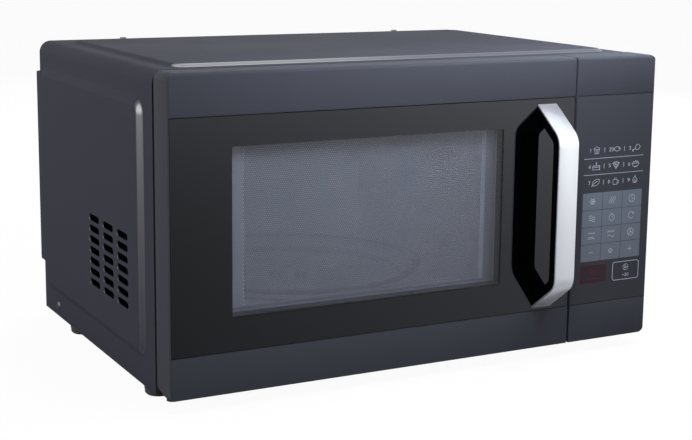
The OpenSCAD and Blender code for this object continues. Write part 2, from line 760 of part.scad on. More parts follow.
module cooling_motor() {
  body_at = shroud_d - 26;
  half = 0.197 * bay_w;
  color(steel) {
    // laminated stack with its coil beside the rotor
    difference() {
      block([fan_x - half, fan_x + half], [body_at, body_at + 16], [fan_z - 24, fan_z + 24]);
      block([fan_x + 0.4 * half, fan_x + 0.73 * half], [body_at - 1, body_at + 17],
            [fan_z - 13, fan_z + 13]);
    }
    rod_d(fan_x, [body_at - 6, body_at + 20], fan_z, 9);
    rod_d(fan_x, [body_at + 18, shroud_d + 12.5], fan_z, 2);
    // two arms to the shroud
    for (side = [-1, 1]) {
      block([fan_x - 3, fan_x + 3], [body_at + 15, body_at + 17],
            [fan_z + side * 36 - 15, fan_z + side * 36 + 15]);
      block([fan_x - 3, fan_x + 3], [body_at + 15, shroud_d],
            [fan_z + side * 50 - 1.5, fan_z + side * 50 + 1.5]);
    }
  }
  color([0.72, 0.4, 0.2])
    block([fan_x + 0.43 * half, fan_x + 1.23 * half], [body_at - 7, body_at + 23],
          [fan_z - 12, fan_z + 12]);
}

module cooling_fan() {
  start = shroud_d + 1;
  color(white_plastic) difference() {
    union() {
      rod_d(fan_x, [start - 1, start + 14], fan_z, 12);
      intersection() {
        rod_d(fan_x, [start, start + 13], fan_z, fan_r);
        for (i = [0:6]) at(fan_x, start + 6.5, fan_z) rotate([0, i * 360 / 7, 0])
          rotate([0, 0, 32]) translate([-11, -0.7, 8]) cube([22, 1.4, fan_r]);
      }
    }
    rod_d(fan_x, [start - 2, start + 12], fan_z, 2 + bore_play);
  }
}

module air_duct() {
  x = [guide_x[1], fan_x + shroud_half - 2];
  z = [antenna_z - 40, antenna_z + 40];
  d = [antenna_d + 48, shroud_d - 34];
  color(dark_plastic) difference() {
    block(x, d, z);
    block([x[0] + 1.2, x[1] - 1.2], [d[0] - 1, d[1] + 1], [z[0] + 1.2, z[1] - 1.2]);
  }
}

// ---------------------------------------------------------------- convection and grill

conv_face = cav_back + sheet_t;
conv_depth = 28;
conv_shaft = 3;

module convection_pan() {
  color(zinc) difference() {
    union() {
      rod_d(cav_cx, [conv_face, conv_face + sheet_t], conv_z, conv_r + 16);
      rod_d(cav_cx, [conv_face, conv_face + conv_depth], conv_z, conv_r + 10 + sheet_t);
    }
    rod_d(cav_cx, [conv_face - 1, conv_face + conv_depth - sheet_t], conv_z, conv_r + 10);
    rod_d(cav_cx, [conv_face, conv_face + conv_depth + 1], conv_z, conv_shaft + 2);
    for (side = [-1, 1]) rod_d(cav_cx + side * 12, [conv_face, conv_face + conv_depth + 1],
      conv_z - conv_r - 2, 5);
  }
}

module convection_heater() {
  tube = 3.2;
  ring = conv_r + 2;
  half_gap = 9;                         // degrees from the foot of the ring to each leg
  plane = conv_face + 12;
  leg_z = conv_z - ring * cos(half_gap);
  pan_back = conv_face + conv_depth;
  color(steel) {
    at(cav_cx, plane, conv_z) rotate([90, 0, 0]) rotate([0, 0, half_gap - 90])
      rotate_extrude(angle = 360 - 2 * half_gap, $fn = 64) translate([ring, 0]) circle(tube, $fn = 24);
    for (side = [-1, 1]) {
      leg_x = cav_cx + side * ring * sin(half_gap);
      rod_d(leg_x, [plane, pan_back + 10], leg_z, tube);
      // swaged elbow
      at(leg_x, plane, leg_z) sphere(tube + 0.7, $fn = 24);
      // insulating collar against the back of the pan
      rod_d(leg_x, [pan_back, pan_back + 2], leg_z, 7);
    }
  }
}

module convection_fan() {
  start = conv_face + 5;
  color(steel) difference() {
    union() {
      rod_d(cav_cx, [start + 14, start + 15], conv_z, conv_r - 16);
      rod_d(cav_cx, [start + 4, start + 18], conv_z, 8);
      for (i = [0:9]) at(cav_cx, start, conv_z) rotate([0, i * 36, 0])
        translate([-0.5, 2, 18]) cube([1, 12.5, conv_r - 35]);
    }
    rod_d(cav_cx, [start, start + 20], conv_z, conv_shaft + bore_play);
  }
}

module convection_motor() {
  start = conv_face + conv_depth;
  color(steel) {
    rod_d(cav_cx, [conv_face + 10, start + 4], conv_z, conv_shaft);
    rod_d(cav_cx, [start + 2, start + 22], conv_z, 26);
    rod_d(cav_cx, [start + 22, start + 26], conv_z, 8);
    // three legs to the back of the pan
    for (i = [0:2]) at(cav_cx, start, conv_z) rotate([0, 60 + i * 120, 0]) {
      translate([-5, 6, 24]) cube([10, 1.5, 20]);
      translate([-5, 0, 42.5]) cube([10, 7.5, 1.5]);
    }
  }
}

module convection_grille() {
  color(steel) difference() {
    rod_d(cav_cx, [cav_back - sheet_t, cav_back], conv_z, conv_r + 8);
    for (ring = [0:2]) for (i = [0:5 + ring * 6])
      at(cav_cx, cav_back, conv_z) rotate([0, i * 360 / (6 + ring * 6), 0])
        translate([0, 0, 20 + ring * 20]) rotate([90, 0, 0])
          translate([0, 0, -1]) linear_extrude(3) rotate([0, 0, 90]) slot_2d(13, 5);
  }
}

grill_r = 3.3;
grill_gap = 16;
grill_half = [112, 70];
grill_back = cav_cd + grill_half[1];
grill_bend = 22;

module grill_element() {
  z = cav_top - 14;
  hx = grill_half[0];
  hd = grill_half[1];
  color([0.35, 0.33, 0.32]) {
    rod_x([cav_cx - hx + grill_bend, cav_cx + hx - grill_bend], cav_cd - hd, z, grill_r);
    for (side = [-1, 1]) {
      rod_d(cav_cx + side * hx, [cav_cd - hd + grill_bend, cav_cd + hd - grill_bend], z, grill_r);
      inner = cav_cx + side * grill_gap;
      outer = cav_cx + side * (hx - grill_bend);
      rod_x([min(inner, outer), max(inner, outer)], grill_back, z, grill_r);
      at(cav_cx + side * grill_gap, grill_back, z) sphere(grill_r, $fn = 24);
      rod_z(cav_cx + side * grill_gap, grill_back, [z, cav_top + 14], grill_r);
      rod_z(cav_cx + side * grill_gap, grill_back, [cav_top + sheet_t, cav_top + 3], 7);
    }
    for (corner = [[-1, -1, 180], [1, -1, 270], [1, 1, 0], [-1, 1, 90]])
      at(cav_cx + corner[0] * (hx - grill_bend), cav_cd + corner[1] * (hd - grill_bend), z)
        rotate([0, 0, corner[2]]) rotate_extrude(angle = 90) translate([grill_bend, 0])
          circle(grill_r, $fn = 24);
    // clips that hang the element from the roof
    for (x = [cav_cx - 60, cav_cx + 60]) difference() {
      block([x - 4, x + 4], [cav_cd - hd - 5, cav_cd - hd + 5], [z - 5, cav_top]);
      block([x - 5, x + 5], [cav_cd - hd - 3.6, cav_cd - hd + 3.6], [z - 3.6, cav_top - 1]);
    }
  }
}

module oven_lamp() {
  x0 = cav_x + cav_w + sheet_t;
  color(white_plastic) difference() {
    block([x0, x0 + 30], [lamp_d - 17, lamp_d + 17], [lamp_z - 15, lamp_z + 15]);
    block([x0 - 1, x0 + 20], [lamp_d - 15, lamp_d + 15], [lamp_z - 13, lamp_z + 13]);
  }
  color([1, 0.95, 0.8]) {
    rod_x([x0 + 11, x0 + 20.5], lamp_d, lamp_z, 6);
    at(x0 + 10, lamp_d, lamp_z) sphere(8);
  }
}

module thermostats() {
  x0 = cav_x + cav_w + sheet_t;
  color(dark_plastic) {
    rod_z(cav_cx + 60, 100, [cav_top + sheet_t, cav_top + sheet_t + 7], 8);
    block([cav_cx + 46, cav_cx + 74], [94, 106], [cav_top + sheet_t, cav_top + sheet_t + 1]);
    rod_x([x0, x0 + 7], 280, cav_z + 50, 8);
    block([x0, x0 + 1], [274, 286], [cav_z + 36, cav_z + 64]);
  }
}

// ---------------------------------------------------------------- interlock

key_d = 22;             // rear face of the latch key's bar
tip_d = 60;             // hook tips behind the door's face
switch_d = tip_d + 3.5;
switch_l = 28;
plunger_r = 1.5;
// x of each switch's middle, its hook's height, and the plunger's offset in height
upper_switch = [hook_x, hook_z[1]];
lower_switch = [wide_hook[0] + 3, hook_z[0]];
monitor_switch = [wide_hook[1] - 3, hook_z[0]];
switches = [upper_switch, lower_switch, monitor_switch];
switch_w = 9;

module latch_board() {
  x = [wide_hook[0] - 10, wide_hook[0] - 7];
  z = [hook_z[0] - 30, hook_z[1] + 30];
  color(white_plastic) {
    difference() {
      union() {
        block(x, [front_back, switch_d + 18], z);
        block([x[0], wide_hook[1] + 8], [front_back, front_back + 3], z);
      }
      block([hook_x - 6, hook_x + 8], [front_back - 1, front_back + 4], [hook_z[1] - 9, hook_z[1] + 13]);
      block([wide_hook[0] - 3, wide_hook[1] + 5], [front_back - 1, front_back + 4],
            [hook_z[0] - 9, hook_z[0] + 13]);
      block([x[0] - 1, x[1] + 1], [front_back + 12, switch_d - 4], [hook_z[0] + 34, hook_z[1] - 34]);
    }
    // ramps that the hooks ride over
    for (z = hook_z) block([x[1], wide_hook[1] + 4], [front_back + 3, front_back + 9], [z - 9, z - 6.5]);
    for (z = hook_z) block([x[1], wide_hook[1] + 4], [front_back + 3, switch_d - 6], [z - 11, z - 9]);
    // pegs that carry the switches
    for (z = hook_z, side = [-1, 1])
      rod_x([x[1], z == hook_z[0] ? wide_hook[1] + 3 : hook_x + 7], switch_d + 9, z + side * 9, 1.4);
  }
}

module interlock_switches() {
  for (s = switches) {
    color(dark_plastic) difference() {
      block([s[0] - switch_w / 2, s[0] + switch_w / 2], [switch_d, switch_d + 16],
            [s[1] - switch_l / 2, s[1] + switch_l / 2]);
      for (side = [-1, 1])
        rod_x([s[0] - 6, s[0] + 6], switch_d + 9, s[1] + side * 9, 1.5);
      rod_d(s[0], [switch_d - 1, switch_d + 6], s[1], plunger_r + bore_play);
    }
    color(zinc) for (z = [-9, 0, 9])
      block([s[0] - 2.4, s[0] + 2.4], [switch_d + 16, switch_d + 23], [s[1] + z - 0.4, s[1] + z + 0.4]);
  }
}

module plunger(s) {
  color([0.8, 0.2, 0.15])
    rod_d(s[0], [tip_d + 0.3, switch_d + 5.8 - plunger_travel], s[1], plunger_r);
}

// ---------------------------------------------------------------- hinges

arm_r = 5;
low_arm_z = z_door - free;              // top face of the lower arm
high_arm_z = z_top - 9;                 // top face of the upper arm
hinge_plate_t = 1.5;
boss_r = pin_dia / 2 + 2.8;
low_boss = z_door + 17;
high_boss = high_arm_z - arm_t - free;

module lower_hinge() {
  plate = [hinge_x - 6, hinge_x + 6];
  color(zinc) {
    rod_z(hinge_x, hinge_d, [low_arm_z - arm_t, low_arm_z], arm_r);
    block([hinge_x - arm_r / 2, hinge_x + arm_r], [hinge_d, cab_d], [low_arm_z - arm_t, low_arm_z]);
    rod_z(hinge_x, hinge_d, [low_arm_z - 1, low_boss - 3], pin_dia / 2);
    difference() {
      block(plate, [cab_d - hinge_plate_t, cab_d], [low_arm_z - arm_t, z_door + 40]);
      for (z = [z_door + 14, z_door + 30])
        rod_d(hinge_x, [cab_d - 3, cab_d + 1], z, screw_r + seat);
    }
  }
}

// The upper arm reaches round the rear edge of the door's side wall, inside the door
module upper_hinge() {
  reach = norm([hinge_x, door_t - hinge_d]) + 1.4;
  back_arm = 7.5;
  color(zinc) {
    rod_z(hinge_x, hinge_d - 1, [high_arm_z - arm_t, high_arm_z], arm_r - 1);
    block([hinge_x, hinge_x + reach + back_arm], [hinge_d - 6, hinge_d + 1.5],
          [high_arm_z - arm_t, high_arm_z]);
    block([hinge_x + reach, hinge_x + reach + back_arm], [hinge_d - 6, cab_d],
          [high_arm_z - arm_t, high_arm_z]);
    rod_z(hinge_x, hinge_d, [high_boss - 17, high_arm_z - 1], pin_dia / 2);
    difference() {
      block([hinge_x + reach - 3, hinge_x + reach + 16], [cab_d - hinge_plate_t, cab_d],
            [high_arm_z - arm_t - 12, high_arm_z + 2]);
      rod_d(hinge_x + reach + 7, [cab_d - 3, cab_d + 1], high_arm_z - arm_t - 7, screw_r + seat);
    }
  }
}

// ---------------------------------------------------------------- control side

front_r = 3;            // rounding of the upper front edge
side_front_r = 2.5;     // rounding of the outer front edges

// Solid of a front moulding between x[0] and x[1]: face outline, side profile and plan
module front_block(x, depth, bl, br, tr, tl, left_r, right_r) {
  intersection() {
    through_d([0, depth]) panel([x[0], z_door], [x[1], z_top], bl, br, tr, tl);
    through_x(x) panel([0, z_door], [depth, z_top], bl = 1.2, tl = front_r);
    through_z([z_door, z_top]) panel([x[0], 0], [x[1], depth], bl = left_r, br = right_r);
  }
}

overlay_t = 0.8;
control_d = cab_d;      // the housing sits against the front plate
display_x = [panel_x + 17, body_w - 17];
display_z = [z_top - 78, z_top - 50];
board_d = 12;

module control_housing() {
  x = [panel_x, body_w];
  back = 15;
  color(black_paint) difference() {
    front_block(x, control_d, 1.2, 9, 8.5, 1.2, 0.6, side_front_r);
    // recess for the keypad sheet
    block([x[0] + 0.8, x[1] - 1.2], [-1, overlay_t + seat], [glass_z, glass_top]);
    block([x[0] + wall, x[1] - wall], [overlay_t + seat + wall, control_d + 1],
          [z_door + wall, z_top - wall]);
    block(display_x, [0, back], display_z);
    block([x[0] + 8, x[0] + 30], [0, back], [glass_z + 4, glass_z + 8]);
  }
  // posts for the board
  color(black_paint) for (px = [x[0] + 9, x[1] - 12], z = [z_door + 50, z_top - 30])
    rod_d(px, [overlay_t + seat + wall - eps, board_d], z, 3);
}

module control_overlay() {
  color([0.17, 0.18, 0.19])
    block([panel_x + 1, body_w - 1.4], [0, overlay_t], [glass_z + glass_gap, glass_top - glass_gap]);
}

module control_board() {
  x = [panel_x + 6, body_w - 9];
  z = [z_door + 42, z_top - 20];
  w = x[1] - x[0];
  rear = board_d + 1.6;
  relay_pitch = (w - 10) / 3;
  color([0.2, 0.42, 0.25]) block(x, [board_d, rear], z);
  // relays, supply transformer and a capacitor
  color([0.1, 0.25, 0.5]) for (i = [0:2])
    block([x[0] + 6 + i * relay_pitch, x[0] + 1 + (i + 1) * relay_pitch], [rear, rear + 15.4],
          [z[0] + 12, z[0] + 32]);
  color(steel) block([x[0] + w / 8, x[0] + 0.55 * w], [rear, rear + 18.4], [z[0] + 50, z[0] + 78]);
  color(dark_plastic) rod_d(x[1] - 0.175 * w, [rear, rear + 12.4], z[1] - 40, 0.0875 * w);
}

module display_module() {
  color([0.08, 0.1, 0.1])
    block([display_x[0] + free, display_x[1] - free], [overlay_t + seat, board_d],
          [display_z[0] + free, display_z[1] - free]);
}

// ---------------------------------------------------------------- door

frame_face = glass_t + seat;            // front of the wall behind the glass
frame_wall = frame_face + wall;         // and its rear face
screen_x = [75, 325];                   // punched part of the screen
screen_z = [z_door + 74.6, z_door + 222];
plate_d = 14;                           // front face of the door's steel plate
choke = [18, 386];                      // outer sides of the choke
choke_z = [z_door + 16, z_top - 24];
choke_w = 17;
choke_back = door_t - 1.2;
pane_x = [54, 341];                     // opening in the frame behind the window
pane_z = [z_door + 66, z_door + 223];
handle_x = door_w - handle_inset - handle_w;
handle_z = z_door + 40.6;
handle_screw_z = [handle_z + 13, handle_z + handle_h - 13];

module door_frame() {
  color(black_paint) difference() {
    union() {
      difference() {
        front_block([0, door_w], door_t, 5, 1.2, 1.2, 8.5, side_front_r, 0.6);
        block([1.5, door_w + 1], [-1, frame_face], [glass_z, glass_top]);
        block([wall, door_w - wall], [frame_wall, door_t + 1], [z_door + wall, z_top - wall]);
        through_d([0, frame_wall + 1]) panel([pane_x[0], pane_z[0]], [pane_x[1], pane_z[1]], 5, 5, 5, 5);
      }
      // hinge bosses, each with a web to the front wall
      for (z = [[z_door + 1, low_boss], [high_boss - 20, high_boss]]) {
        rod_z(hinge_x, hinge_d, z, boss_r);
        block([wall - 1, hinge_x + 2], [frame_wall - 1, hinge_d], z);
      }
      // guides for the latch key
      for (z = [z_door + 62, z_door + 150, z_door + 258]) for (x = [key_x[0] - 2.5, key_x[1] + 0.4])
        block([x, x + 2.1], [frame_wall - 1, key_d + 2], [z, z + 12]);
      // posts that the steel plate is screwed to
      for (x = [46, 200, 350], z = [z_door + 30, z_top - 34])
        rod_d(x, [frame_wall - 1, plate_d], z, 4);
    }
    rod_z(hinge_x, hinge_d, [z_door - 1, low_boss - 2], pin_dia / 2 + pin_play);
    rod_z(hinge_x, hinge_d, [high_boss - 18, high_boss + 1], pin_dia / 2 + pin_play);
    // the lower rear corner is cut away over the hinge arm
    through_x([-1, hinge_x + 9]) polygon([[hinge_d + 2, z_door - 1], [hinge_d + 2, z_door],
      [door_t + 1, z_door + 7], [door_t + 1, z_door - 1]]);
    for (z = handle_screw_z) rod_d(handle_x + handle_w / 2, [0, frame_wall + 1], z, 2.5);
  }
}

module door_glass() {
  color([0.1, 0.11, 0.12, 0.6]) difference() {
    block([1.5 + seat, door_w - 0.8], [0, glass_t], [glass_z + glass_gap, glass_top - glass_gap]);
    for (z = handle_screw_z) rod_d(handle_x + handle_w / 2, [-1, glass_t + 1], z, 2.5);
  }
}

// Steel plate with a window and a choke channel folded round it
comb_pitch = 14;
module door_plate() {
  inner = [choke[0] + choke_w, choke[1] - choke_w];
  inner_z = [choke_z[0] + choke_w, choke_z[1] - choke_w];
  color(zinc) difference() {
    union() {
      block(choke, [plate_d, plate_d + sheet_t], choke_z);
      // outer wall of the channel, and its lip
      difference() {
        block(choke, [plate_d, choke_back], choke_z);
        block([choke[0] + sheet_t, choke[1] - sheet_t], [plate_d - 1, choke_back - sheet_t],
              [choke_z[0] + sheet_t, choke_z[1] - sheet_t]);
        block([choke[0] + 9, choke[1] - 9], [plate_d, choke_back + 1], [choke_z[0] + 9, choke_z[1] - 9]);
      }
      // inner wall, closed by the face round the window
      difference() {
        block(inner, [plate_d, choke_back], inner_z);
        block([inner[0] + sheet_t, inner[1] - sheet_t], [plate_d - 1, choke_back + 1],
              [inner_z[0] + sheet_t, inner_z[1] - sheet_t]);
      }
    }
    through_d([plate_d - 1, plate_d + 2])
      panel([screen_x[0], screen_z[0]], [screen_x[1], screen_z[1]], 4, 4, 4, 4);
    // comb slots through the lip
    for (x = [choke[0] + 16:comb_pitch:choke[1] - 16], z = [choke_z[0], choke_z[1] - 9])
      block([x, x + 3], [choke_back - 8, choke_back + 1], [z - 1, z + 10]);
    for (z = [choke_z[0] + 16:comb_pitch:choke_z[1] - 16], x = [choke[0], choke[1] - 9])
      block([x - 1, x + 10], [choke_back - 8, choke_back + 1], [z, z + 3]);
  }
}

// Punched screen, spot-welded to the front of the steel plate over its window
module door_mesh() {
  color([0.42, 0.43, 0.46]) block([pane_x[0] + 4, pane_x[1] - 4], [plate_d - 0.5, plate_d],
                                 [pane_z[0] + 4, pane_z[1] - 4]);
}

cover_t = 1.8;
module choke_cover() {
  back = cab_d - 1.4;
  color(dark_plastic) difference() {
    block([14, door_w - 5], [back - cover_t, back], [z_door + 5, z_top - 5]);
    through_d([back - 5, back + 1]) panel([choke[0] + choke_w + 6, choke_z[0] + choke_w + 6],
      [choke[1] - choke_w - 6, choke_z[1] - choke_w - 6], 6, 6, 6, 6);
    // clear of the upper hinge arm and of the latch hooks
    block([0, 46], [0, cab_d], [high_arm_z - 26, z_top]);
    block([hook_x - 6, hook_x + 6], [back - 5, back + 1], [hook_z[1] - 8, hook_z[1] + 12]);
    block([wide_hook[0] - 3, wide_hook[1] + 3], [back - 5, back + 1], [hook_z[0] - 8, hook_z[0] + 12]);
  }
  // rims that stand on the choke's lip
  color(dark_plastic) for (x = [choke[0] + 2, choke[1] - 5])
    block([x, x + 3], [choke_back, back - cover_t], [choke_z[0] + 12, choke_z[1] - 12]);
}

module inner_window() {
  inset = choke_w + sheet_t + seat;
  front = plate_d + sheet_t;
  color([0.8, 0.85, 0.85, 0.35]) block([choke[0] + inset, choke[1] - inset], [front, front + 1.2],
                                       [choke_z[0] + inset, choke_z[1] - inset]);
}

// Side outline of the handle, drawn in d and z, moved inwards by t, and run on past the glass
knee_r = 18;
module handle_outline(t, past = 0) {
  slope = leg_slope / handle_reach;
  shift = t / cos(atan(slope));
  face = -(handle_reach - t);
  rise = slope * (handle_reach - t);
  low = [[past, handle_z + shift - slope * past], [face, handle_z + shift + rise]];
  high = [[face, handle_z + handle_h - shift - rise], [past, handle_z + handle_h - shift + slope * past]];
  r = knee_r - t;
  polygon(concat([low[0]], fillet(low[0], low[1], high[0], r),
    fillet(low[1], high[0], high[1], r), [high[1]]));
}

module handle_body() {
  x = [handle_x, handle_x + handle_w];
  color(black_gloss) difference() {
    through_x([x[0] + 0.3, x[1] - 0.3]) handle_outline(strip_t);
    through_x([x[0] - 1, x[1] + 1]) handle_outline(bar_t, 1);
    for (z = handle_screw_z) rod_d(handle_x + handle_w / 2, [-12, 1], z, 2.05);
  }
}

module handle_strip() {
  color(zinc) difference() {
    through_x([handle_x, handle_x + handle_w]) handle_outline(0);
    through_x([handle_x - 1, handle_x + handle_w + 1]) handle_outline(strip_t, 1);
  }
}

module handle_screws() {
  color(steel) for (z = handle_screw_z) {
    rod_d(handle_x + handle_w / 2, [-11, frame_wall], z, 2);
    at(handle_x + handle_w / 2, frame_wall, z) rotate([-90, 0, 0]) pan_head(4);
  }
}

// Latch key: a bar that slides up and down, with two hooks
key_x = [397, 411];
key_z = [z_door + 56, z_door + 252];
module latch_key() {
  color(white_plastic) {
    block([key_x[0], key_x[1]], [key_d - 5, key_d], key_z);
    for (hook = [[[hook_x - hook_w / 2, hook_x + hook_w / 2], hook_z[1]], [wide_hook, hook_z[0]]]) {
      block(hook[0], [key_d - 1, tip_d - 6], [hook[1] - 4, hook[1] + 4]);
      // ramped nose
      through_x(hook[0]) polygon([[tip_d - 12, hook[1] - 4], [tip_d - 10, hook[1] - 5.8],
        [tip_d, hook[1] - 2], [tip_d, hook[1] + 2], [tip_d - 6, hook[1] + 4], [tip_d - 12, hook[1] + 4]]);
    }
    // hook for the return spring
    block([404, 409], [key_d - 5, key_d], [key_z[1] - 1, key_z[1] + 6]);
  }
}

// Return spring over the key, wound as a helix
spring_r = 3;
wire_r = 0.5;
spring_turns = 7;
spring_z = [key_z[1] + 6.4, z_top - wall - 0.4];
module latch_spring() {
  steps = 12;
  sides = 6;
  rings = spring_turns * steps;
  climb = spring_z[1] - spring_z[0] - 2 * wire_r;
  points = [for (i = [0:rings], j = [0:sides - 1])
    let (a = i * 360 / steps, b = j * 360 / sides, r = spring_r + wire_r * cos(b))
      [r * cos(a), r * sin(a), climb * i / rings + wire_r * sin(b) + wire_r]];
  sides_faces = [for (i = [0:rings - 1], j = [0:sides - 1])
    let (k = (j + 1) % sides) [i * sides + j, i * sides + k, (i + 1) * sides + k, (i + 1) * sides + j]];
  color(steel) at(406.5, key_d - 2.5, spring_z[0])
    polyhedron(points, concat([[for (j = [sides - 1:-1:0]) j]],
      [[for (j = [0:sides - 1]) rings * sides + j]],
      [for (f = sides_faces) [f[0], f[3], f[2], f[1]]]));
}

// ---------------------------------------------------------------- assembly

outer_cabinet();
rear_panel();
base_plate();
feet();
front_plate();
cavity_liner();
cavity_floor();
cavity_back();
turntable_motor();
coupler();
roller_ring();
roller(0);  // roller_1
roller(1);  // roller_2
roller(2);  // roller_3
glass_tray();
waveguide();
waveguide_cover();
magnetron();
transformer();
capacitor();
noise_filter();
cooling_motor();
cooling_fan();
fan_shroud();
air_duct();
convection_pan();
convection_heater();
convection_fan();
convection_motor();
convection_grille();
grill_element();
oven_lamp();
thermostats();
latch_board();
interlock_switches();
plunger(upper_switch);  // plunger_upper
plunger(lower_switch);  // plunger_lower
plunger(monitor_switch);  // plunger_monitor
upper_hinge();
lower_hinge();
control_housing();
control_overlay();
control_board();
display_module();
cabinet_screws();
cord_gland();
door_frame();
door_glass();
door_plate();
door_mesh();
choke_cover();
inner_window();
handle_body();
handle_strip();
handle_screws();
latch_key();
latch_spring();
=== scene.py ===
"""Finishes and visible detail for a countertop microwave oven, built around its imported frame."""

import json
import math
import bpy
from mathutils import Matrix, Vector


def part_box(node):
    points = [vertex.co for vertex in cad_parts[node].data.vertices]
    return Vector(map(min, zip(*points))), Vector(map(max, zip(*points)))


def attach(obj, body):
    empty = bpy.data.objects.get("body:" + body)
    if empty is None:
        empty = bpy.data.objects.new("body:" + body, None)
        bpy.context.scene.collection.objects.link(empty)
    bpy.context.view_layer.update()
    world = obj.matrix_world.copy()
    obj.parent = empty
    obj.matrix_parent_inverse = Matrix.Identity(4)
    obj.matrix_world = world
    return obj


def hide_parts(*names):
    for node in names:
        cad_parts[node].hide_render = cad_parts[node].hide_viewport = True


bl_info = {
    "name": "Microwave oven",
    "version": (1, 0, 0),
    "blender": (4, 5, 0),
    "location": "3D View > Sidebar > Oven",
    "description": "Pressed cabinet, glass door, bar handle, keypad and finishes of a microwave oven",
    "category": "Object",
}

import bmesh
import bpy
from bpy.props import FloatProperty, FloatVectorProperty, IntProperty, PointerProperty
from mathutils import Matrix, Vector
from mathutils.geometry import tessellate_polygon

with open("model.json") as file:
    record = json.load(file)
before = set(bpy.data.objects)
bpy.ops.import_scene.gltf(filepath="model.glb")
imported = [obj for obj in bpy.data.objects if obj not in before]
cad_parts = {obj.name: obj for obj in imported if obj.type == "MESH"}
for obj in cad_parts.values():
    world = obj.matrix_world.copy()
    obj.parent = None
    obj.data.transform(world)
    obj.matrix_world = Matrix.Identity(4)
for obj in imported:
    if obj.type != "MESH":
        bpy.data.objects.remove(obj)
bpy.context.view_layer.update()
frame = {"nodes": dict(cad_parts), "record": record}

MM = 0.001
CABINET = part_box("outer_cabinet")
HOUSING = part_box("control_housing")
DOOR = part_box("door_frame")
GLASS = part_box("door_glass")
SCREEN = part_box("door_mesh")
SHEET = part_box("control_overlay")
LEFT, RIGHT = DOOR[0].x, HOUSING[1].x
BASE = CABINET[0].z
TOP = HOUSING[1].z


# ------------------------------------------------------------------ settings


def length(name, text, size, low=0.0):
    return FloatProperty(name=name, description=text, default=size, min=low, unit="LENGTH",
                         subtype="DISTANCE", precision=4)


def colour(name, text, value):
    return FloatVectorProperty(name=name, description=text, default=value, min=0.0, max=1.0,
                               size=3, subtype="COLOR")


class CabinetSettings(bpy.types.PropertyGroup):
    """Sizes of the pressed wrap"""

    thickness: length("Sheet", "Thickness of the wrap", 0.8 * MM)
    bend: length("Top bend", "Radius of the two long top edges", 12 * MM)
    lip: length("Lip", "Width of the lip turned in under each side", 10 * MM)
    side_rise: length("Side field", "Height of the pressed field on each side", LEFT - CABINET[0].x)
    side_bevel: length("Side bevel", "Width of the side field's soft edge", 10 * MM)
    side_corner: length("Side corner", "Corner radius of the side field", 17 * MM)
    side_front: length("Side front", "Side field behind the wrap's front edge", 21.5 * MM)
    side_back: length("Side back", "Side field in front of the rear edge", 8 * MM)
    side_low: length("Side low", "Side field over the wrap's lower edge", 25 * MM)
    side_high: length("Side high", "Side field under the wrap's top", 25 * MM)
    roof_bevel: length("Roof bevel", "Width of the roof field's soft edge", 7 * MM)
    roof_corner: length("Roof corner", "Corner radius of the roof field", 16 * MM)
    roof_side: length("Roof side", "Roof field in from each side", 22 * MM)
    roof_front: length("Roof front", "Roof field behind the wrap's front edge", 10 * MM)
    roof_back: length("Roof back", "Roof field in front of the rear edge", 33 * MM)
    slot_length: length("Slot length", "Length of an air slot", 29 * MM)
    slot_height: length("Slot height", "Height of an air slot", 6.7 * MM)
    slot_depth: length("Slot depth", "How far the slot's edge is turned in", 1.4 * MM)
    slot_pitch: length("Slot pitch", "Distance between columns of slots", 40.5 * MM)
    slot_step: length("Slot step", "Distance between rows of slots", 10.6 * MM)
    slot_first: length("First slot", "Middle of the first column behind the wrap's front edge", 72 * MM)
    slot_low: length("Low slot", "Middle of the lowest row over the wrap's lower edge", 67.4 * MM)
    columns: IntProperty(name="Columns", description="Columns of air slots", default=3, min=1)
    rows: IntProperty(name="Rows", description="Rows of air slots", default=7, min=1)


class DoorSettings(bpy.types.PropertyGroup):
    """Sizes of the door's window, grey band and punched screen"""

    window_left: length("Window left", "Clear window's left edge from the door's left edge", 58.5 * MM)
    window_right: length("Window right", "Clear window's right edge from the door's left edge", 336.5 * MM)
    window_low: length("Window low", "Clear window's lower edge over the glass's lower edge", 30.2 * MM)
    window_high: length("Window high", "Clear window's upper edge over the glass's lower edge", 181.2 * MM)
    band_thickness: length("Band", "Thickness of the grey band on the screen", 0.15 * MM)
    band_right: length("Band right", "Grey band's inner edge from the door's left edge", 325 * MM)
    band_low: length("Band low", "Grey band's inner edge over the door's lower edge", 74 * MM)
    band_grey: colour("Band grey", "Colour of the grey band", (0.074, 0.076, 0.094))
    # Painted shade: the lining's dark grey stands in for the shade in the recess between glass and screen
    liner_shade_grey: colour("Lining shade grey", "Colour of the lining around the screen", (0.024, 0.025, 0.030))
    hole_pitch: length("Hole pitch", "Distance between the screen's holes", 2.1 * MM, 0.5 * MM)
    hole_size: length("Hole", "Width of a hole in the screen", 1.22 * MM)
    punched_left: length("Punched left", "Punched part's left edge from the door's left edge", 73.5 * MM)
    punched_right: length("Punched right", "Punched part's right edge from the door's left edge", 319.5 * MM)
    punched_low: length("Punched low", "Punched part's lower edge over the door's lower edge", 74.6 * MM)
    punched_high: length("Punched high", "Punched part's upper edge over the door's lower edge", 218 * MM)


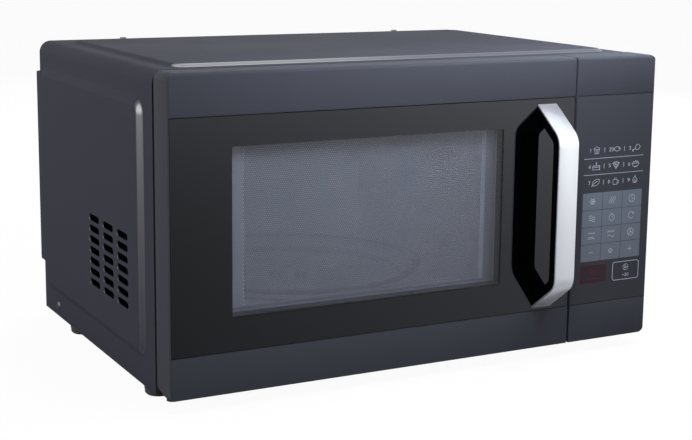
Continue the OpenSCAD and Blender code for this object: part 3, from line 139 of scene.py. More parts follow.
class KeypadSettings(bpy.types.PropertyGroup):
    """Sizes and inks of the printed keypad, measured from the control panel's lower left corner"""

    ink: length("Ink", "Thickness of the print", 0.05 * MM)
    line: length("Line", "Width of a printed line", 0.42 * MM)
    left: length("Left", "Key field's left edge", 11.4 * MM)
    cell_width: length("Cell width", "Width of a key", 24.27 * MM)
    cell_height: length("Cell height", "Height of a key", 17.2 * MM)
    field_low: length("Field low", "Key field's lower edge", 80.7 * MM)
    row_low: length("Food rows", "Middle of the lowest food row", 159.6 * MM)
    row_step: length("Food row step", "Distance between food rows", 16.1 * MM)
    key_low: length("Key low", "Lower edge of the stop and start keys", 58.2 * MM)
    key_high: length("Key high", "Upper edge of the stop and start keys", 76.7 * MM)
    key_width: length("Key width", "Width of the stop and start keys", 32.5 * MM)
    white: colour("White ink", "Colour of the marks", (0.46, 0.48, 0.54))
    red: colour("Red ink", "Colour of the stop key's marks", (0.13, 0.014, 0.026))
    dark_red: colour("Stop key", "Colour of the stop key's ground", (0.036, 0.026, 0.032))
    grey: colour("Key field", "Colour of the key field", (0.137, 0.157, 0.186))
    seam: colour("Key lines", "Colour of the lines between keys", (0.034, 0.038, 0.047))


class EdgeSettings(bpy.types.PropertyGroup):
    """How far the hard edges of the mouldings are rounded over"""

    moulding: length("Moulding", "Edge radius of the door and panel mouldings", 0.35 * MM)
    handle: length("Handle", "Edge radius of the handle's black bar", 0.9 * MM)
    strip: length("Strip", "Edge radius of the handle's bright strip", 0.45 * MM)


class StageSettings(bpy.types.PropertyGroup):
    """Camera and light"""

    lens: FloatProperty(name="Lens", description="Focal length", default=75.04, min=1.0, unit="CAMERA")
    place: FloatVectorProperty(name="Camera", description="Camera's place", size=3, subtype="TRANSLATION",
                               unit="LENGTH", default=(-0.6812, -1.3003, 0.4173))
    heading: FloatProperty(name="Heading", description="Turn towards the right", subtype="ANGLE",
                           default=math.radians(27.89))
    tilt: FloatProperty(name="Tilt", description="Tilt below the horizon", subtype="ANGLE",
                        default=math.radians(10.15))
    roll: FloatProperty(name="Roll", description="Roll about the line of sight", subtype="ANGLE",
                        default=math.radians(0.61))
    rise: FloatProperty(name="Shift", description="Upward shift of the frame", default=-0.05)
    floor: colour("Floor", "Colour of the floor", (0.42, 0.42, 0.42))


# ------------------------------------------------------------------ meshes


WELD = 0.002 * MM
# Angles between faces, in degrees: flat enough to join, hard enough to round, and shaded sharp
FLAT, HARD_EDGE = 0.6, 35.0
SHARP, SHARP_EASED, SHARP_PRESSED = 30.0, 40.0, 35.0


def place(name, data):
    """Adds an object with this data to the scene."""
    made = bpy.data.objects.new(name, data)
    bpy.context.scene.collection.objects.link(made)
    return made


def piece_from(name, points, faces, body, slot, tone=None):
    """Makes a mesh piece, gives it the finish of a slot and lets it ride on a body."""
    mesh = bpy.data.meshes.new(name)
    mesh.from_pydata([tuple(p) for p in points], [], faces)
    mesh.validate()
    piece = place(name, mesh)
    dress(piece, body, slot, tone=tone)
    return piece


def dress(piece, body, slot, angle=SHARP, tone=None):
    """Shades a piece, gives it the finish of a slot and lets it ride on a body."""
    soften_shading(piece, angle)
    piece.data.materials.clear()
    piece.data.materials.append(finish(slot, tone))
    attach(piece, body)


def soften_shading(piece, angle):
    """Shades smooth, with sharp edges where two faces meet at more than the angle."""
    work = bmesh.new()
    work.from_mesh(piece.data)
    limit = math.radians(angle)
    for face in work.faces:
        face.smooth = True
    for edge in work.edges:
        edge.smooth = len(edge.link_faces) == 2 and edge.calc_face_angle(0.0) < limit
    work.to_mesh(piece.data)
    work.free()


def settle(piece):
    """Replaces a piece's mesh by what its modifiers make of it."""
    graph = bpy.context.evaluated_depsgraph_get()
    made = bpy.data.meshes.new_from_object(piece.evaluated_get(graph))
    old = piece.data
    piece.modifiers.clear()
    piece.data = made
    bpy.data.meshes.remove(old)


def eased_copy(node, name, body, width):
    """Puts a copy of a part with its hard edges rounded over in the part's place."""
    work = bmesh.new()
    work.from_mesh(frame["nodes"][node].data)
    bmesh.ops.remove_doubles(work, verts=work.verts, dist=WELD)
    bmesh.ops.dissolve_limit(work, angle_limit=math.radians(FLAT), verts=work.verts, edges=work.edges)
    mesh = bpy.data.meshes.new(name)
    work.to_mesh(mesh)
    work.free()
    piece = place(name, mesh)
    bevel = piece.modifiers.new("edges", "BEVEL")
    bevel.limit_method, bevel.angle_limit = "ANGLE", math.radians(HARD_EDGE)
    bevel.width, bevel.segments = width, 2
    bevel.miter_outer = "MITER_ARC"
    settle(piece)
    slot = next(e["material_slot"] for e in frame["record"]["subparts"] if e["node"] == node)
    dress(piece, body, slot, SHARP_EASED)
    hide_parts(node)


def smoothstep(u):
    u = min(max(u, 0.0), 1.0)
    return u * u * (3 - 2 * u)


def field_height(x, y, half_x, half_y, corner, bevel, rise):
    """Height of a pressed field with round corners and a soft bevel, at x and y from its middle."""
    far_x = abs(x) - (half_x - corner)
    far_y = abs(y) - (half_y - corner)
    outside = math.hypot(max(far_x, 0.0), max(far_y, 0.0)) + min(max(far_x, far_y), 0.0) - corner
    return rise * smoothstep(-outside / bevel)


def steps_between(low, high, step):
    count = max(1, round((high - low) / step))
    return [low + (high - low) * i / count for i in range(count)]


def field_lines(low, high, start, end, bevel, corner):
    """Grid lines from low to high that follow the bevels of a field between start and end."""
    fine, coarse = 1 * MM, 2 * MM
    lines = [low]
    lines += steps_between(start, start + bevel, fine)
    lines += steps_between(start + bevel, start + corner, coarse)
    lines += [start + corner, end - corner]
    lines += steps_between(end - corner, end - bevel, coarse)[1:]
    lines += steps_between(end - bevel, end, fine)
    return lines + [end, high]


def slot_outline(half, radius, grow, steps=7):
    """Outline of a slot with round ends, about its own middle, counter-clockwise."""
    r = radius + grow
    points = []
    for side, first in ((1, -90), (-1, 90)):
        for i in range(steps + 1):
            turn = math.radians(first + 180 * i / steps)
            points.append((side * (half - radius) + r * math.cos(turn), r * math.sin(turn)))
    return points


GRID_REPEAT = 0.05 * MM
BEND_STEPS = 10


def merged(lines):
    """Sorted grid lines without near repeats."""
    kept = []
    for value in sorted(lines):
        if not kept or value - kept[-1] > GRID_REPEAT:
            kept.append(value)
    return kept


def wrap_stations(s):
    """Points round the wrap: place, outward direction, and the flat part that each lies on."""
    high, half, r, tight = TOP - BASE, RIGHT, s.bend, 1.2 * MM
    side = field_lines(tight, high - r, s.side_low, high - s.side_high, s.side_bevel, s.side_corner)
    side += [s.slot_low + (row - 0.5) * s.slot_step for row in range(s.rows + 1)]
    side = merged(side)
    roof = merged(field_lines(-half + r, half - r, -half + s.roof_side, half - s.roof_side,
                              s.roof_bevel, s.roof_corner))
    left = [((-half + s.lip, BASE), (0, -1), None, 0.0), ((-half + tight, BASE), (0, -1), None, 0.0)]
    left.append(((-half + tight * 0.3, BASE + tight * 0.3), (-1, -1), None, 0.0))
    left += [((-half, BASE + z), (-1, 0), "left", z) for z in side]
    for i in range(1, BEND_STEPS):
        turn = math.radians(180 - 90 * i / BEND_STEPS)
        across, up = math.cos(turn), math.sin(turn)
        left.append(((-half + r + r * across, TOP - r + r * up), (across, up), None, 0.0))
    right = [((-x, z), (-dx, dz), part and "right", at) for (x, z), (dx, dz), part, at in reversed(left)]
    return left + [((x, TOP), (0, 1), "roof", x) for x in roof] + right


def wrap_mesh(s):
    """Points and faces of the wrap's outer skin, with the slots' edges turned in."""
    front, back = CABINET[0].y, CABINET[1].y
    deep, high = back - front, TOP - BASE
    lines = field_lines(0.0, deep, s.side_front, deep - s.side_back, s.side_bevel, s.side_corner)
    lines += field_lines(0.0, deep, s.roof_front, deep - s.roof_back, s.roof_bevel, s.roof_corner)
    edges = [s.slot_first + (c - 0.5) * s.slot_pitch for c in range(s.columns + 1)]
    lines = merged([d for d in lines if not edges[0] < d < edges[-1]] + edges)
    stations = wrap_stations(s)

    def rise(part, at, d):
        if part == "roof":
            middle = (s.roof_front + deep - s.roof_back) / 2
            return field_height(at, d - middle, RIGHT - s.roof_side, (deep - s.roof_front - s.roof_back) / 2,
                                s.roof_corner, s.roof_bevel, CABINET[1].z - TOP)
        if part is None:
            return 0.0
        middle_d = (s.side_front + deep - s.side_back) / 2
        middle_z = (s.side_low + high - s.side_high) / 2
        return field_height(d - middle_d, at - middle_z, (deep - s.side_front - s.side_back) / 2,
                            (high - s.side_low - s.side_high) / 2, s.side_corner, s.side_bevel, s.side_rise)

    points, faces = [], []
    for (x, z), (dx, dz), part, at in stations:
        for d in lines:
            h = rise(part, at, d)
            points.append((x + dx * h, front + d, z + dz * h))
    wide = len(lines)
    slots = slot_cells(s, stations, lines)
    for i in range(len(stations) - 1):
        for j in range(wide - 1):
            a = i * wide + j
            quad = (a, a + wide, a + wide + 1, a + 1)
            if (i, j) in slots:
                punch_slot(s, points, faces, quad)
            else:
                faces.append(quad)
    return points, faces


def slot_cells(s, stations, lines):
    """Grid cells, as station and line numbers, that hold a slot."""
    cells = set()
    near = 0.1 * MM
    for i in range(len(stations) - 1):
        part, low, high = stations[i][2], stations[i][3], stations[i + 1][3]
        if part not in ("left", "right") or stations[i + 1][2] != part:
            continue
        row = (min(low, high) - s.slot_low) / s.slot_step + 0.5
        if abs(row - round(row)) > 0.01 or not 0 <= round(row) < s.rows:
            continue
        for j in range(len(lines) - 1):
            column = (lines[j] - s.slot_first) / s.slot_pitch + 0.5
            if abs(column - round(column)) * s.slot_pitch < near and 0 <= round(column) < s.columns:
                cells.add((i, j))
    return cells


# How far each ring of a slot's edge stands outside the slot and under the sheet, in millimetres
SLOT_EDGE = ((1.1, 0.0), (0.5, 0.0), (0.2, 0.08), (0.04, 0.25), (0.0, 0.5))


def punch_slot(s, points, faces, quad):
    """Fills one flat cell with a slot whose edge is turned in."""
    corners = [Vector(points[k]) for k in quad]
    middle = sum(corners, Vector()) / 4
    along, up = Vector((0, 1, 0)), Vector((0, 0, 1))
    inward = Vector((-1 if middle.x > 0 else 1, 0, 0))
    rings = []
    for grow, depth in ((a * MM, b * MM) for a, b in (*SLOT_EDGE, (0.0, s.slot_depth / MM))):
        outline = slot_outline(s.slot_length / 2, s.slot_height / 2, grow)
        rings.append([middle + along * u + up * v + inward * depth for u, v in outline])
    first = len(points)
    for ring in rings:
        points.extend(tuple(p) for p in ring)
    count = len(rings[0])
    loops = corners + rings[0]
    index = list(quad) + [first + k for k in range(count)]
    away = -inward
    for a, b, c in tessellate_polygon([corners, rings[0]]):
        face = (a, b, c)
        normal = (loops[b] - loops[a]).cross(loops[c] - loops[a])
        if normal.dot(away) < 0:
            face = (a, c, b)
        faces.append(tuple(index[k] for k in face))
    clockwise = away.x > 0
    for r in range(len(rings) - 1):
        for k in range(count):
            a, b = first + r * count + k, first + r * count + (k + 1) % count
            strip = (a, b, b + count, a + count)
            faces.append(strip if clockwise else strip[::-1])


def prism(outline, holes, near, far):
    """Points and faces of a plate in X and Z between two depths, with holes."""
    loops = [outline] + holes
    flat = [Vector((x, z, 0)) for loop in loops for x, z in loop]
    split = [[Vector((x, z, 0)) for x, z in loop] for loop in loops]
    count = len(flat)
    points = [(p.x, near, p.y) for p in flat] + [(p.x, far, p.y) for p in flat]
    faces = []
    for a, b, c in tessellate_polygon(split):
        if (flat[b] - flat[a]).cross(flat[c] - flat[a]).z < 0:
            b, c = c, b
        faces.append((a, b, c))
        faces.append((a + count, c + count, b + count))
    start = 0
    for n, loop in enumerate(loops):
        size = len(loop)
        area = sum(p[0] * q[1] - q[0] * p[1] for p, q in zip(loop, loop[1:] + loop[:1]))
        forward = (area > 0) == (n == 0)
        for k in range(size):
            a, b = start + k, start + (k + 1) % size
            side = (a, a + count, b + count, b)
            faces.append(side if forward else side[::-1])
        start += size
    return points, faces


def rounded(x0, z0, x1, z1, r, steps=5):
    """Rectangle with round corners, counter-clockwise."""
    points = []
    centres = (x1 - r, z0 + r, -90), (x1 - r, z1 - r, 0), (x0 + r, z1 - r, 90), (x0 + r, z0 + r, 180)
    for cx, cz, first in centres:
        for i in range(steps + 1):
            turn = math.radians(first + 90 * i / steps)
            points.append((cx + r * math.cos(turn), cz + r * math.sin(turn)))
    return points


def curve_through(points, closed, steps=5):
    """Smooth curve through the points."""
    count = len(points)
    spans = count if closed else count - 1
    made = []
    for i in range(spans):
        if closed:
            a, b, c, d = (points[(i + k) % count] for k in (-1, 0, 1, 2))
        else:
            a, b, c, d = points[max(i - 1, 0)], points[i], points[i + 1], points[min(i + 2, count - 1)]
        for k in range(steps):
            t = k / steps
            made.append(tuple(
                0.5 * (2 * b[n] + (c[n] - a[n]) * t + (2 * a[n] - 5 * b[n] + 4 * c[n] - d[n]) * t * t
                       + (3 * b[n] - a[n] - 3 * c[n] + d[n]) * t * t * t) for n in (0, 1)))
    return made if closed else made + [points[-1]]


def rectangle(lo, hi, grow=0.0):
    """Corners of a box in X and Z, moved outwards, counter-clockwise from the lower left."""
    x0, z0, x1, z1 = lo.x - grow, lo.z - grow, hi.x + grow, hi.z + grow
    return [(x0, z0), (x1, z0), (x1, z1), (x0, z1)]


def circle_points(x, z, r, count):
    turns = [2 * math.pi * i / count for i in range(count)]
    return [(x + r * math.cos(t), z + r * math.sin(t)) for t in turns]


class Print:
    """Collects printed lines and patches, all in one ink, as thin raised strips on a face of the oven."""

    def __init__(self, near, far):
        self.near, self.far = near, far
        self.points, self.faces = [], []

    def patch(self, outline, holes=()):
        points, faces = prism(outline, list(holes), self.near, self.far)
        first = len(self.points)
        self.points += points
        self.faces += [tuple(first + k for k in face) for face in faces]

    def line(self, path, width, closed=False):
        """A strip of the given width along the path."""
        count, edges = len(path), []
        for i, (x, z) in enumerate(path):
            back = path[i - 1] if i or closed else path[i]
            ahead = path[(i + 1) % count] if i < count - 1 or closed else path[i]
            into = Vector((x - back[0], z - back[1]))
            out = Vector((ahead[0] - x, ahead[1] - z))
            into = into.normalized() if into.length else out.normalized()
            out = out.normalized() if out.length else into
            along = into + out
            along = along.normalized() if along.length > 0.1 else into
            reach = width / 2 / max(along.dot(into), 0.5)
            side = Vector((-along.y, along.x)) * reach
            edges.append(((x + side.x, z + side.y), (x - side.x, z - side.y)))
        first = len(self.points)
        for (lx, lz), (rx, rz) in edges:
            self.points += [(lx, self.near, lz), (rx, self.near, rz), (rx, self.far, rz), (lx, self.far, lz)]
        spans = count if closed else count - 1
        for i in range(spans):
            a, b = first + 4 * i, first + 4 * ((i + 1) % count)
            for k in range(4):
                n = (k + 1) % 4
                self.faces.append((a + k, a + n, b + n, b + k))
        if not closed:
            last = first + 4 * (count - 1)
            self.faces.append((first + 3, first + 2, first + 1, first))
            self.faces.append((last, last + 1, last + 2, last + 3))

    def sign(self, strokes, x, z, width, size=1.0):
        """A sign made of strokes, drawn about its own middle in millimetres."""
        for path, closed in strokes:
            self.line([(x + u * MM * size, z + v * MM * size) for u, v in path], width, closed)

    def piece(self, name, tone):
        piece_from(name, self.points, self.faces, "chassis", "keypad_sheet", tuple(tone))


def line(*points):
    return list(points), False


def shape(*points):
    return list(points), True


def curve(*points):
    return curve_through(points, False), False


def loop(*points):
    return curve_through(points, True), True


def ring(x, z, r, count=24):
    return circle_points(x, z, r, count), True


# Strokes of the printed signs, each about the sign's own middle in millimetres
WAVES = [curve((-3 + u, v - 0.1), (-1.5 + u, v + 0.9), (0 + u, v), (1.5 + u, v - 0.9), (3 + u, v + 0.1))
         for u, v in ((0.0, 1.7), (0.0, 0.0), (0.0, -1.7))]
ZIGZAG = [line((-3.5, 1.5), (-2.3, 2.6), (-1.2, 1.5), (0, 2.6), (1.2, 1.5), (2.3, 2.6), (3.5, 1.5))]
FOOD_SIGNS = [
    [shape((-2, -3), (-2.8, 0.6), (2.8, 0.6), (2, -3)), line((-0.6, -3), (-0.8, 0.6)),
     line((0.6, -3), (0.8, 0.6)),
     curve((-2.8, 0.6), (-3, 2), (-1.6, 2.1), (-0.8, 3.2), (0.6, 3), (1.4, 2.2), (2.9, 2), (2.8, 0.6))],
    [loop((-2.6, 0), (-0.6, 1.9), (2.4, 1.5), (4.2, 0), (2.4, -1.5), (-0.6, -1.9)),
     shape((-2.6, 0), (-4.8, 1.9), (-4.2, 0), (-4.8, -1.9)), ring(2.6, 0.4, 0.25, 8)],
    [loop((-1, -0.6), (0, 1.9), (2.4, 2.8), (4.2, 1.2), (3.4, -1.2), (1, -1.9)),
     line((-0.8, -0.9), (-2.9, -2.2)), loop((-2.9, -2.2), (-4, -1.6), (-4, -2.8), (-3.2, -3.2))],
    [shape((-3.8, -2.8), (3.8, -2.8), (3.8, 0.8), (-3.8, 0.8)),
     curve((-3.8, -0.8), (-2.5, -0.2), (-1.2, -1), (0, -0.3), (1.2, -1), (2.5, -0.2), (3.8, -0.8)),
     line((0, 0.8), (0, 2.2)), loop((0, 2.3), (0.5, 2.9), (0, 3.6), (-0.5, 2.9))],
    [line((-3.6, 1.6), (0, -3.2), (3.6, 1.6)), loop((-3.7, 1.6), (0, 1.9), (3.7, 1.6), (0, 3.1)),
     ring(-0.9, 0.5, 0.5, 10), ring(1.1, 0, 0.5, 10), ring(0, -1.4, 0.4, 10)],
    [shape((-4, 0.3), (4, 0.3), (2.6, -2.4), (-2.6, -2.4)), line((-1.6, -3.1), (1.6, -3.1)),
     curve((-2.9, 0.4), (-2.2, 2), (-0.8, 1.3), (0.2, 2.6), (1.4, 1.4), (2.4, 2.2), (3, 0.4))],
    [loop((-3.4, -2.4), (-2.8, 1), (0.4, 2.8), (3.8, 2.8), (3.4, -0.6), (0, -2.6)),
     curve((-4.4, -3.2), (-1.2, -0.4), (2.2, 1.4))],
    [shape((-2.6, -3), (-2.6, 1.4), (2, 1.4), (2, -3)),
     curve((2, 0.8), (3.6, 0.4), (3.6, -1.6), (2, -2)),
     curve((-1.2, 2), (-0.7, 2.6), (-1.2, 3.2)), curve((0.4, 2), (0.9, 2.6), (0.4, 3.2))],
    [loop((0, -3), (2.3, -2), (2.2, 0.4), (0.8, 1.8), (0.4, 3.4), (-1.2, 1.6), (-2.4, -0.4), (-1.8, -2.3)),
     loop((0, -2.6), (0.9, -1.6), (0, 0), (-0.9, -1.6))],
]
KEY_SIGNS = [
    [line((-2.8 * c, -2.8 * d), (2.8 * c, 2.8 * d)) for c, d in ((1, 0), (0.5, 0.866), (-0.5, 0.866))]
    + [line((2.0 * c - 0.9 * d, 2.0 * d + 0.9 * c), (1.4 * c, 1.4 * d),
            (2.0 * c + 0.9 * d, 2.0 * d - 0.9 * c))
       for c, d in ((1, 0), (0.5, 0.866), (-0.5, 0.866), (-1, 0), (-0.5, -0.866), (0.5, -0.866))],
    [curve((u, -2.8), (u - 0.9, -1.4), (u, 0), (u + 0.9, 1.4), (u, 2.8)) for u in (-2, 0, 2)],
    [ring(0, 0, 2.9), line((0, 1.9), (0, 0), (1.4, -0.8))],
    WAVES,
    [ring(0, -0.4, 2.5), line((-0.7, 3), (0.7, 3)), line((0, 3), (0, 2.1)), line((0, -0.4), (1.1, 0.8))],
    [curve((2.5, 0.9), (1.2, 2.4), (-1.2, 2.4), (-2.6, 0.6), (-2, -1.7), (0, -2.7), (2, -1.8)),
     line((0.9, 0.8), (2.6, 0.8), (2.6, 2.5))],
    ZIGZAG + [line((-3.5, -2.4), (3.5, -2.4)), line((-2.6, -1.2), (2.6, -1.2))],
    ZIGZAG + WAVES[2:],
    [ring(0, 0, 2.9), ring(0, 0, 0.5, 10)]
    + [curve((0.5 * c, 0.5 * d), (1.5 * c - 0.7 * d, 1.5 * d + 0.7 * c), (2.3 * c, 2.3 * d))
       for c, d in ((0, 1), (-0.866, -0.5), (0.866, -0.5))],
    [line((-2, 0), (2, 0))],
    [shape((-2.1, 0), (0, 2.1), (2.1, 0), (0, -2.1)), line((0, 1.1), (0, -1.1))],
    [line((-2, 0), (2, 0)), line((0, -2), (0, 2))],
]
START_SIGN = [ring(0, 0, 3.1), shape((-1, 1.5), (1.7, 0), (-1, -1.5))]
EIGHTHS = [math.radians(22.5 + 45 * k) for k in range(8)]
STOP_SIGN = [shape(*[(3.2 * math.cos(t), 3.2 * math.sin(t)) for t in EIGHTHS]), line((-1.7, 0), (1.7, 0))]
FOOD_SIGN_SIZE, KEY_SIGN_SIZE = 1.1, 1.25
FOOD_BAR, KEY_CORNER, FIELD_CORNER = 2.4 * MM, 2.6 * MM, 0.5 * MM
DIGIT_OFF, SIGN_OFF = -5.2 * MM, 2.6 * MM
START_SIGN_UP, START_DIGITS_DOWN, DIGIT_STEP = 3.2 * MM, 4.6 * MM, 2.9 * MM
STOP_SIGN_UP, STOP_BAR_DOWN, STOP_BAR = 2.6 * MM, 5 * MM, 6 * MM
OUTLINE_WIDTH, STOP_WIDTH = 1.3, 1.4
DIGITS = {
    "0": [loop((0, -1.5), (0.9, -0.8), (0.9, 0.8), (0, 1.5), (-0.9, 0.8), (-0.9, -0.8))],
    "1": [line((-0.5, 0.9), (0.2, 1.5), (0.2, -1.5))],
    "2": [curve((-0.9, 0.8), (0, 1.5), (0.9, 0.8), (0, -0.4), (-0.9, -1.5)),
          line((-0.9, -1.5), (0.9, -1.5))],
    "3": [curve((-0.8, 1), (0, 1.5), (0.8, 0.8), (0, 0.1)),
          curve((0, 0.1), (0.9, -0.7), (0, -1.5), (-0.9, -1))],
    "4": [line((0.4, -1.5), (0.4, 1.5), (-1, -0.7), (1, -0.7))],
    "5": [line((0.8, 1.5), (-0.7, 1.5), (-0.8, 0.2)),
          curve((-0.8, 0.2), (0.4, 0.4), (0.9, -0.6), (0, -1.5), (-0.9, -1.1))],
    "6": [curve((0.6, 1.5), (-0.6, 0.5), (-0.9, -0.6), (0, -1.5), (0.9, -0.7), (0, 0.1), (-0.9, -0.6))],
    "7": [line((-0.9, 1.5), (0.9, 1.5), (-0.2, -1.5))],
    "8": [loop((0, 0.15), (0.8, 0.85), (0, 1.5), (-0.8, 0.85)),
          loop((0, 0.15), (0.9, -0.7), (0, -1.5), (-0.9, -0.7))],
    "9": [curve((-0.6, -1.5), (0.6, -0.5), (0.9, 0.6), (0, 1.5), (-0.9, 0.7), (0, -0.1), (0.9, 0.6))],
    "+": [line((-0.9, 0), (0.9, 0)), line((0, 0.9), (0, -0.9))],
}


# ------------------------------------------------------------------ finishes


FLOAT, COLOUR, VECTOR = "NodeSocketFloat", "NodeSocketColor", "NodeSocketVector"
WHITE, MID_GREY = (1, 1, 1, 1), (0.5, 0.5, 0.5, 1)


def feed(tree, node, label, value):
    """Links a socket to a node's input, or sets the input to a plain value."""
    if isinstance(value, bpy.types.NodeSocket):
        tree.links.new(value, node.inputs[label])
    else:
        node.inputs[label].default_value = value


def add_node(tree, kind, inputs=None, **settings):
    """Adds a shader node, and sets or links the inputs given for it."""
    node = tree.nodes.new("ShaderNode" + kind)
    for name, value in settings.items():
        setattr(node, name, value)
    for label, value in (inputs or {}).items():
        feed(tree, node, label, value)
    return node


def new_group(name, inputs, outputs):
    """Empty shader node group with named sockets, the sockets it is given, and its output node."""
    group = bpy.data.node_groups.new(name, "ShaderNodeTree")
    for label, kind, value in inputs:
        socket = group.interface.new_socket(label, in_out="INPUT", socket_type=kind)
        socket.default_value = value
    for label, kind in outputs:
        group.interface.new_socket(label, in_out="OUTPUT", socket_type=kind)
    return group, group.nodes.new("NodeGroupInput").outputs, group.nodes.new("NodeGroupOutput")


def grain_group():
    """Fine pitted grain of paint and moulded plastic, as a height."""
    group, given, out = new_group("Fine grain", [("Scale", FLOAT, 900.0), ("Softness", FLOAT, 0.5)],
                                  [("Height", FLOAT)])
    spot = add_node(group, "TexCoord").outputs["Object"]
    noise = add_node(group, "TexNoise", {"Vector": spot, "Scale": given["Scale"], "Detail": 3.0,
                                         "Roughness": given["Softness"]})
    feed(group, out, "Height", noise.outputs["Fac"])
    return group


def drift_group():
    """Slow change of tone and gloss over a surface, as from handling and dust."""
    group, given, out = new_group(
        "Tone drift",
        [("Scale", FLOAT, 9.0), ("Tone", COLOUR, MID_GREY), ("Worn tone", COLOUR, MID_GREY),
         ("Gloss low", FLOAT, 0.3), ("Gloss high", FLOAT, 0.4)],
        [("Colour", COLOUR), ("Roughness", FLOAT)])
    spot = add_node(group, "TexCoord").outputs["Object"]
    noise = add_node(group, "TexNoise", {"Vector": spot, "Scale": given["Scale"], "Detail": 4.0})
    broad = noise.outputs["Fac"]
    mix = add_node(group, "Mix", {"Factor": broad, "A": given["Tone"], "B": given["Worn tone"]},
                   data_type="RGBA")
    gloss = add_node(group, "MapRange", {"Value": broad, "From Min": 0.3, "From Max": 0.7,
                                         "To Min": given["Gloss low"], "To Max": given["Gloss high"]})
    feed(group, out, "Colour", mix.outputs["Result"])
    feed(group, out, "Roughness", gloss.outputs["Result"])
    return group


def edge_group():
    """Mask of slopes that face one way, where hands rub a pressed sheet smooth."""
    group, given, out = new_group(
        "Rubbed slopes", [("Facing", VECTOR, (0, -1, 0)), ("Start", FLOAT, 0.12), ("Full", FLOAT, 0.34)],
        [("Mask", FLOAT)])
    normal = add_node(group, "TexCoord").outputs["Normal"]
    lean = add_node(group, "VectorMath", {0: normal, 1: given["Facing"]}, operation="DOT_PRODUCT")
    ramp = add_node(group, "MapRange", {"Value": lean.outputs["Value"], "From Min": given["Start"],
                                        "From Max": given["Full"]})
    feed(group, out, "Mask", ramp.outputs["Result"])
    return group


def brush_group():
    """Fine lines of brushed or rolled metal, as a height."""
    group, given, out = new_group(
        "Brushed lines", [("Across X", FLOAT, 40.0), ("Across Y", FLOAT, 40.0), ("Across Z", FLOAT, 900.0)],
        [("Height", FLOAT)])
    spot = add_node(group, "TexCoord").outputs["Object"]
    stretch = add_node(group, "CombineXYZ", {axis: given["Across " + axis] for axis in "XYZ"})
    scaled = add_node(group, "VectorMath", {0: spot, 1: stretch.outputs["Vector"]}, operation="MULTIPLY")
    noise = add_node(group, "TexNoise", {"Vector": scaled.outputs["Vector"], "Scale": 1.0, "Detail": 2.0})
    feed(group, out, "Height", noise.outputs["Fac"])
    return group


